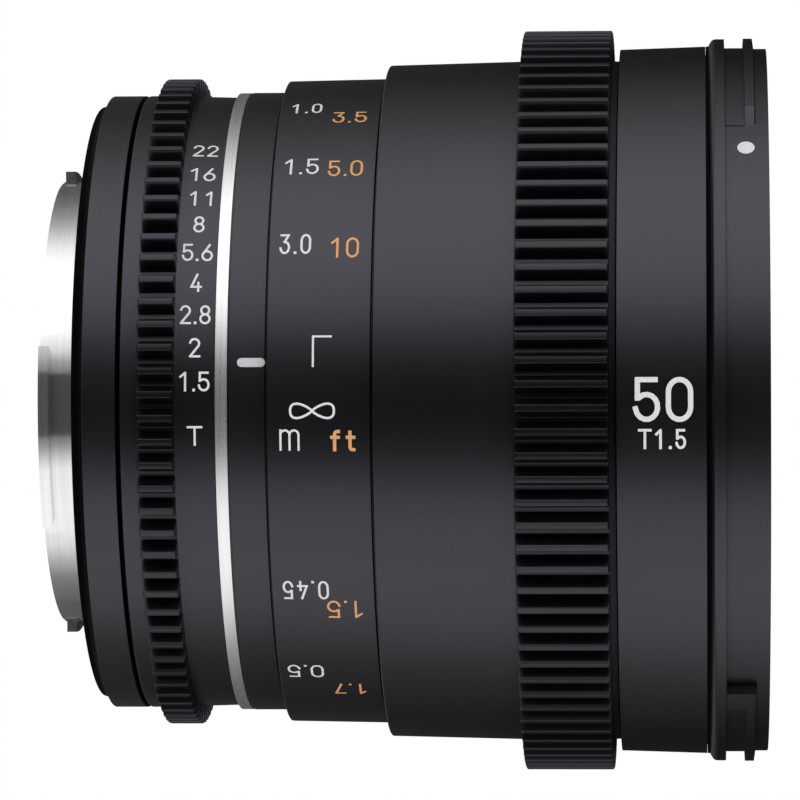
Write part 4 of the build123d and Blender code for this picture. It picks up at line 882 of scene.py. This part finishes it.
shroud = turned("shroud", [
    (59.0, SHROUD_BORE, 0), (59.0, 26.8, 0.05), (61.9, 26.8, 0), (61.9, SHROUD_RIM, 0.1),
    (62.35, SHROUD_RIM, 0), (62.35, 37.0, 0), (63.85, 37.0, 0), (63.85, SHROUD_RIM, 0),
    (64.6, SHROUD_RIM, 0.15), (64.6, 36.3, 0.15), (RING_BACK, 36.3, 0), (RING_BACK, SHROUD_BORE, 0),
], MATT_BLACK, "optical_block")
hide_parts("front_shroud")
seal = turned("seal", [
    (62.38, 37.03, 0), (62.38, 38.5, 0.2), (63.82, 38.5, 0.2), (63.82, 37.03, 0),
], FELT, "optical_block")
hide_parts("felt_seal")


def ribbed(x, r, angle):
    """Lowers the name ring's sloping face by a saw-tooth along the radius, as stray-light steps."""
    face = (x > 62.9) & (r > 24.5) & (r < 35.4)
    return x - np.where(face, STEP_DEPTH * (r * STEPS_EACH % 1), 0), r


(inner_x, inner_r), (outer_x, outer_r) = NAME_FACE
name_rows = [
    (inner_x + (r - inner_r) * (outer_x - inner_x) / (outer_r - inner_r), r, 0)
    for r in np.linspace(24.6, 35.3, 96)
]
name_ring = turned("name_ring_body", [
    (60.33, 22.4, 0.03), (*NAME_FACE[0], 0.1), *name_rows, (*NAME_FACE[1], 0.05),
    (63.8, NAME_RIM, 0.1), (RING_BACK, NAME_RIM, 0), (RING_BACK, NAME_BORE, 0), (60.33, NAME_BORE, 0),
], MATT_BLACK, "optical_block", shape=ribbed)
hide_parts("name_ring")
retainer = turned("front_retaining_ring", [
    (58.87, 22.3, 0.05), (58.87, 23.5, 0), (60.3, 23.5, 0), (60.3, 22.3, 0.1),
], MATT_BLACK, "optical_block")
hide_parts("front_retainer")


# ---- Glass

def face_of(vertex, radius, edge, count=28):
    """Points of a glass face from the axis to its edge: x is the vertex less the face's sag."""
    r = np.linspace(0, edge, count)
    sag = abs(radius) - np.sqrt(radius**2 - r**2)
    return list(zip(vertex - np.sign(radius) * sag, r))


def lens(number, front, front_radius, rear, rear_radius, rim, material, front_edge=None,
         rear_edge=None):
    """A glass element: its front face, a flat step where the face stops short, its rim, its rear."""
    forward = face_of(front, front_radius, front_edge or rim)
    backward = face_of(rear, rear_radius, rear_edge or rim)
    if front_edge:
        forward.append((forward[-1][0], rim))
    if rear_edge:
        backward.append((backward[-1][0], rim))
    outline = forward + backward[::-1]
    piece = spun(f"glass_{number}", outline, material, "optical_block")
    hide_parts(f"lens_element_{number}")


# Each element's number, front place and radius, rear place and radius, and rim
lens(1, 63.02, 62.0, 57.02, 300.0, 23.5, GLASS)
lens(2, 56.52, 36.0, 50.52, 70.0, 21.5, INNER_GLASS)
lens(3, 50.02, 28.0, 43.52, 120.0, 18.5, INNER_GLASS)
lens(4, 43.5, 120.0, 41.7, 18.5, 18.5, INNER_GLASS, rear_edge=15.5)
lens(5, 21.5, -19.5, 19.9, 90.0, 14.5, INNER_GLASS, front_edge=12.5)
lens(6, 19.88, 90.0, 11.88, -28.0, 14.5, INNER_GLASS)
lens(7, 11.38, 60.0, 4.88, -40.0, 16.0, INNER_GLASS)
lens(8, 4.86, -40.0, 3.26, -90.0, 16.0, INNER_GLASS)
lens(9, 2.76, 45.0, -2.74, -200.0, 16.0, REAR_GLASS)


# ---- Scales, index and figures

iris_surface = slope_between(IRIS_REAR, IRIS_FRONT)
scale_surface = slope_between(SCALE_REAR, SCALE_FRONT)
barrel_surface = slope_between(BARREL_REAR, (68.8, 40.17))
index_surface = slope_between((17.42, INDEX_RADIUS), (21.35, INDEX_RADIUS))
hood_surface = slope_between((70.9, SPIGOT_RADIUS), (75.5, SPIGOT_RADIUS))

# The T scale: characters, angle and length along the axis
STOPS = [
    ("22", 127.45, 2.84), ("16", 134.34, 2.78), ("11", 140.47, 2.43), ("8", 146.43, 1.24),
    ("5.6", 152.4, 3.38), ("4", 158.44, 1.26), ("2.8", 164.48, 3.36), ("2", 170.51, 1.26),
    ("1.5", 176.57, 3.27), ("T", 186.25, 1.7),
]
for text, angle, length in STOPS:
    name = "stop_" + text.replace(".", "_")
    lettering(name, text, 13.7, angle, iris_surface, WHITE, "iris_group", 2.14, length, 0.24, 0.3)

# The distance scales: characters, angle, place and length along the axis
METRES = [("1.0", 117.35, 24.61, 3.36), ("1.5", 135.6, 24.72, 3.73), ("3.0", 152.45, 24.49, 3.42)]
FEET = [("3.5", 121.15, 29.5, 3.8), ("5.0", 136.2, 29.52, 3.84), ("10", 153.25, 29.88, 3.03)]
NEAR_METRES = [("0.45", 214.2, 25.35, 5.01), ("0.5", 234.6, 24.62, 3.98)]
NEAR_FEET = [("1.5", 218.3, 29.49, 3.85), ("1.7", 240.62, 29.31, 3.5)]
SCALES = [
    ("metres", WHITE, METRES, False), ("feet", ORANGE, FEET, False),
    ("metres", WHITE, NEAR_METRES, True), ("feet", ORANGE, NEAR_FEET, True),
]
for unit, paint, rows, upside_down in SCALES:
    for text, angle, x, length in rows:
        name = f"{unit}_{text.replace('.', '_')}"
        lettering(name, text, x, angle, scale_surface, paint, "focus_group",
                  2.46, length, 0.25, 0.4, upside_down)

lettering("far_mark", ["loop"], 26.55, 181.75, scale_surface, WHITE, "focus_group", 1.8, 4.97, 0.25)
lettering("corner_mark", ["corner"], 27.6, 171.7, scale_surface, WHITE, "focus_group",
          3.43, 2.14, 0.22)
lettering("metre_unit", "m", 24.1, 186.67, scale_surface, WHITE, "focus_group", 2.32, 2.18, 0.23)
lettering("foot_unit", "ft", 29.86, 186.76, scale_surface, ORANGE, "focus_group",
          2.32, 2.76, 0.36, 0.6)
lettering("focal_length", "50", 64.19, 180.03, barrel_surface, WHITE, "lens_barrel",
          4.8, 6.42, 0.56, 0.62)
lettering("widest_stop", "T1.5", 64.07, 186.05, barrel_surface, WHITE, "lens_barrel",
          2.16, 5.09, 0.28, 0.36)


def pill(name, x, angle, half_length, half_width, surface, material, body, grooves):
    """A filled mark with round ends, on a ring: a fan of rings drawn in from its outline.

    The outline is two half circles on a straight middle. Each ring inside it is the same outline
    on a smaller half width, and its height over the surface may carry fine grooves along it.
    """
    shares = np.array([1.0, 1.0, 0.985, *np.linspace(0.94, 0.03, 26)])
    turn = np.linspace(0, 2 * pi, 96, endpoint=False)
    straight = half_length - half_width
    across = np.sign(np.cos(turn)) * straight * (np.abs(np.cos(turn)) > 1e-9)
    width = shares[:, None] * half_width
    flat_x = across[None, :] + width * np.cos(turn)
    flat_y = width * np.sin(turn)
    place = x + flat_x
    height = np.where(np.arange(len(shares)) == 0, -MARK_SINK, PAINT_RISE)[:, None]
    height = height + grooves * np.sin(flat_y * 2 * pi / GROOVE_PITCH) * (shares[:, None] < 0.95)
    rings = around(place, surface(place) + height, radians(angle) - flat_y / surface(place))
    under = around(x, surface(x) - MARK_SINK, radians(angle))
    count = len(turn)
    quads = grid_faces(len(shares), count, closed_rows=False)
    along = np.arange(count)
    beside = (along + 1) % count
    fan = np.stack([np.full(count, len(rings)), along, beside], axis=1)
    over = around(x, surface(x) + PAINT_RISE, radians(angle))
    last = (len(shares) - 1) * count
    top_fan = np.stack([np.full(count, len(rings) + 1), last + beside, last + along], axis=1)
    points = np.concatenate([rings, under, over])
    faces = [quads, np.concatenate([fan, top_fan])]
    return closed_mesh(name, points, faces, material, body)


pill("index_mark", 19.86, 173.31, 1.51, 0.49, index_surface, INDEX_WHITE, "lens_barrel", 0.006)
pill("hood_dot", 73.16, 136.9, 0.93, 0.93, hood_surface, WHITE, "lens_barrel", 0)


# ---- Room, lights and camera

# The room's strength by elevation, from 0 on the camera's side over 90 above to 180 at the back
ROOM_LIGHT = [
    (-180, 0.02), (-130, 0.02), (-115, 0.12), (-101, 0.3), (-90, 0.65), (-79, 1.15), (-68, 1.45),
    (-56, 1.5), (-45, 1.45), (-34, 1.4), (-28, 0.9), (-22, 0.4), (-17.5, 0.22), (-16.5, 0.01),
    (13.5, 0.01), (14.5, 0.26), (20, 0.5), (26, 1.1), (34, 1.7), (45, 1.95), (60, 2.05),
    (72, 1.9), (86, 1.4), (94, 1.0), (102, 0.65), (112, 0.35), (124, 0.12), (140, 0.02),
    (180, 0.02),
]

# The room's tube: its middle on x, places along it as shares of half its length, the share of the
# strength by that place, and the shares of its radius in the rings that close its ends
ROOM_MIDDLE = 35
ROOM_PLACES = [0, 0.25, 0.5, 0.62, 0.74, 0.86, 1.0]
ROOM_FALL = ((0, 0.5, 0.86, 1.0), (1, 1, 0.35, 0.08))
ROOM_ENDS = [0.8, 0.65, 0.5, 0.35, 0.2, 0.05]

# The pale panel at the rear: its level, its share by y, and its share by x, both in millimetres
PANEL_LEVEL = 1.05
PANEL_SPREAD = ((-800, 240, 420, 800), (0, 0, 1, 1))
PANEL_REACH = ((-1330, -900, -420, -250), (1, 0.8, 0.5, 0))


def glowing(name):
    """A surface of the room that shines by each point's own strength."""
    material = bpy.data.materials.new(name)
    material.use_nodes = True
    shine = Nodes(material.node_tree)
    shine.tree.nodes.clear()
    strength = shine.node("ShaderNodeAttribute", {"attribute_name": "strength"}, {}, "Fac")
    glow = shine.node("ShaderNodeEmission", {}, {"Strength": strength})
    shine.node("ShaderNodeOutputMaterial", {}, {"Surface": glow}, None)
    return material


def room_wall(name, radius, length):
    """The soft boxes and dark flags round the set, which only reflections see.

    A tube about the X axis with y = -radius cos elevation and z = radius sin elevation, closed at
    both ends by rings that shrink to the axis. Its strength goes by the elevation, from the table,
    and fades towards the ends. The rear end and the rear part of the back wall have a pale panel
    in addition, which grows with y.
    """
    elevation = np.linspace(-180, 180, 241)[:-1]
    along = np.array(ROOM_PLACES)
    shrink = np.array(ROOM_ENDS)
    across = np.concatenate([-along[::-1], along[1:]])
    fall = np.interp(np.abs(across), *ROOM_FALL)
    across = np.concatenate([-np.ones(len(shrink)), across, np.ones(len(shrink))])
    fall = np.concatenate([fall[0] * shrink[::-1], fall, fall[-1] * shrink])
    reach = np.concatenate([shrink[::-1], np.ones(2 * len(along) - 1), shrink]) * radius
    wall = np.interp(elevation, *zip(*ROOM_LIGHT))
    turn = np.radians(elevation)
    x = across[:, None] * length + ROOM_MIDDLE
    points = around(x, reach[:, None], pi - turn[None, :])
    panel = np.interp(points[:, 1], *PANEL_SPREAD) * np.interp(points[:, 0], *PANEL_REACH)
    strength = (fall[:, None] * wall[None, :]).ravel() + PANEL_LEVEL * panel
    count = len(elevation)
    quads = grid_faces(len(across), count, closed_rows=False)
    ends = [list(range(count)), list(range((len(across) - 1) * count, len(across) * count))]
    mesh = bpy.data.meshes.new(name)
    mesh.from_pydata((points * MM).tolist(), [], [*quads.tolist(), *ends])
    level = mesh.attributes.new("strength", "FLOAT", "POINT")
    level.data.foreach_set("value", strength.astype(np.float32))
    mesh.materials.append(glowing(name))
    piece = bpy.data.objects.new(name, mesh)
    bpy.context.scene.collection.objects.link(piece)
    piece.visible_camera = False
    piece.visible_diffuse = False
    piece.visible_shadow = False
    piece.visible_transmission = False
    return piece


room_wall("room_wall", 800, 1360)


def soft_light(name, elevation, distance, length, height, power):
    """A wide soft box on the camera's side at an elevation, turned to face the lens."""
    lamp = bpy.data.lights.new(name, "AREA")
    lamp.shape = "RECTANGLE"
    lamp.size = length
    lamp.size_y = height
    lamp.energy = power
    holder = bpy.data.objects.new(name, lamp)
    bpy.context.scene.collection.objects.link(holder)
    outward = Vector((0, -cos(radians(elevation)), sin(radians(elevation))))
    across = Vector((1, 0, 0))
    turn = Matrix((across, outward.cross(across), outward)).transposed().to_4x4()
    place = outward * distance + Vector((ROOM_MIDDLE * MM, 0, 0))
    holder.matrix_world = Matrix.Translation(place) @ turn
    holder.visible_glossy = False
    return holder


soft_light("upper_box", 51.5, 0.6, 1.5, 0.89, 6.6)
soft_light("lower_box", -48.5, 0.6, 1.5, 0.78, 5.4)

# The floor, in metres: its level and its rings. The camera sees a share of it as an even glow
FLOOR_LEVEL = -0.9
FLOOR_RINGS = (0.02, 1.0, 2.0, 3.0)
FLOOR_STEPS = 96
FLOOR_GLOW = 0.75

floor_turn = np.linspace(0, 2 * pi, FLOOR_STEPS + 1)[:-1]
level = np.full(FLOOR_STEPS, FLOOR_LEVEL)
floor_points = np.concatenate([
    np.stack([r * np.cos(floor_turn), r * np.sin(floor_turn), level], axis=1) for r in FLOOR_RINGS
])
floor_faces = grid_faces(len(FLOOR_RINGS), FLOOR_STEPS, False).tolist()
floor_mesh = bpy.data.meshes.new("floor")
floor_mesh.from_pydata(floor_points.tolist(), [], [*floor_faces, list(range(FLOOR_STEPS))])
floor = bpy.data.objects.new("floor", floor_mesh)
bpy.context.scene.collection.objects.link(floor)
paper = Finish("floor", {"Roughness": 0.9, "Specular IOR Level": 0.1})
paper_x, paper_y, _ = paper.place()
cloud = paper.noise(paper_x * 0.01, paper_y * 0.01, 0.0)
paper.set({"Base Color": paper.mix(cloud, rgb(0.8, 0.8, 0.8), rgb(0.84, 0.84, 0.84))})
seen = paper.node("ShaderNodeLightPath", {}, {}, "Is Camera Ray")
glow = paper.node("ShaderNodeEmission", {}, {"Color": rgb(0.9, 0.9, 0.9), "Strength": 1.0})
plain = Wire(paper, paper.surface.outputs[0])
both = paper.node("ShaderNodeMixShader", {}, {0: seen * FLOOR_GLOW, 1: plain, 2: glow})
paper.plug(paper.tree.nodes["Material Output"].inputs["Surface"], both)
floor_mesh.materials.append(paper.material)

# The even light round everything: its strength on dull surfaces, and where it is seen, straight,
# in a reflection or through glass
DULL_LEVEL = 0.12
SEEN_LEVEL = 1.0

world = bpy.data.worlds.new("room")
bpy.context.scene.world = world
world.use_nodes = True
room = Nodes(world.node_tree)
room.tree.nodes.clear()
straight, reflected, through = [
    room.node("ShaderNodeLightPath", {}, {}, f"Is {ray} Ray")
    for ray in ("Camera", "Glossy", "Transmission")
]
values = {
    "Value": straight.greater(reflected).greater(through),
    "To Min": DULL_LEVEL, "To Max": SEEN_LEVEL,
}
strength = room.node("ShaderNodeMapRange", {}, values)
light = room.node("ShaderNodeBackground", {}, {"Color": rgb(1, 1, 1), "Strength": strength})
room.node("ShaderNodeOutputWorld", {}, {"Surface": light}, None)

# The camera: its turns in degrees, its place and nearest sight in metres, its focal length and its
# picture's width in pixels, and its sensor's width in millimetres
YAW, PITCH, ROLL = 3.38705, 0.1068, 0.16459
EYE = (0.0681, -0.578711, -0.0009957)
NEAREST = 0.01
FOCAL_PIXELS = 5067
PICTURE_PIXELS = 800
SENSOR_WIDTH = 36

# Its axes, to the right, forwards and up, are turned by the yaw, the pitch and the roll
yaw, pitch, roll = radians(YAW), radians(PITCH), radians(ROLL)
yawed = np.array([[cos(yaw), -sin(yaw), 0], [sin(yaw), cos(yaw), 0], [0, 0, 1]])
pitched = np.array([[1, 0, 0], [0, cos(pitch), -sin(pitch)], [0, sin(pitch), cos(pitch)]])
rolled = np.array([[cos(roll), 0, sin(roll)], [0, 1, 0], [-sin(roll), 0, cos(roll)]])
right, forwards, upwards = (yawed @ pitched @ rolled).T
optics = bpy.data.cameras.new("camera")
optics.sensor_width = SENSOR_WIDTH
optics.lens = SENSOR_WIDTH * FOCAL_PIXELS / PICTURE_PIXELS
optics.clip_start = NEAREST
viewer = bpy.data.objects.new("camera", optics)
bpy.context.scene.collection.objects.link(viewer)
axes = Matrix((Vector(right), Vector(upwards), -Vector(forwards))).transposed()
viewer.matrix_world = Matrix.Translation(Vector(EYE)) @ axes.to_4x4()
bpy.context.scene.camera = viewer
bpy.context.scene.view_settings.view_transform = "Standard"
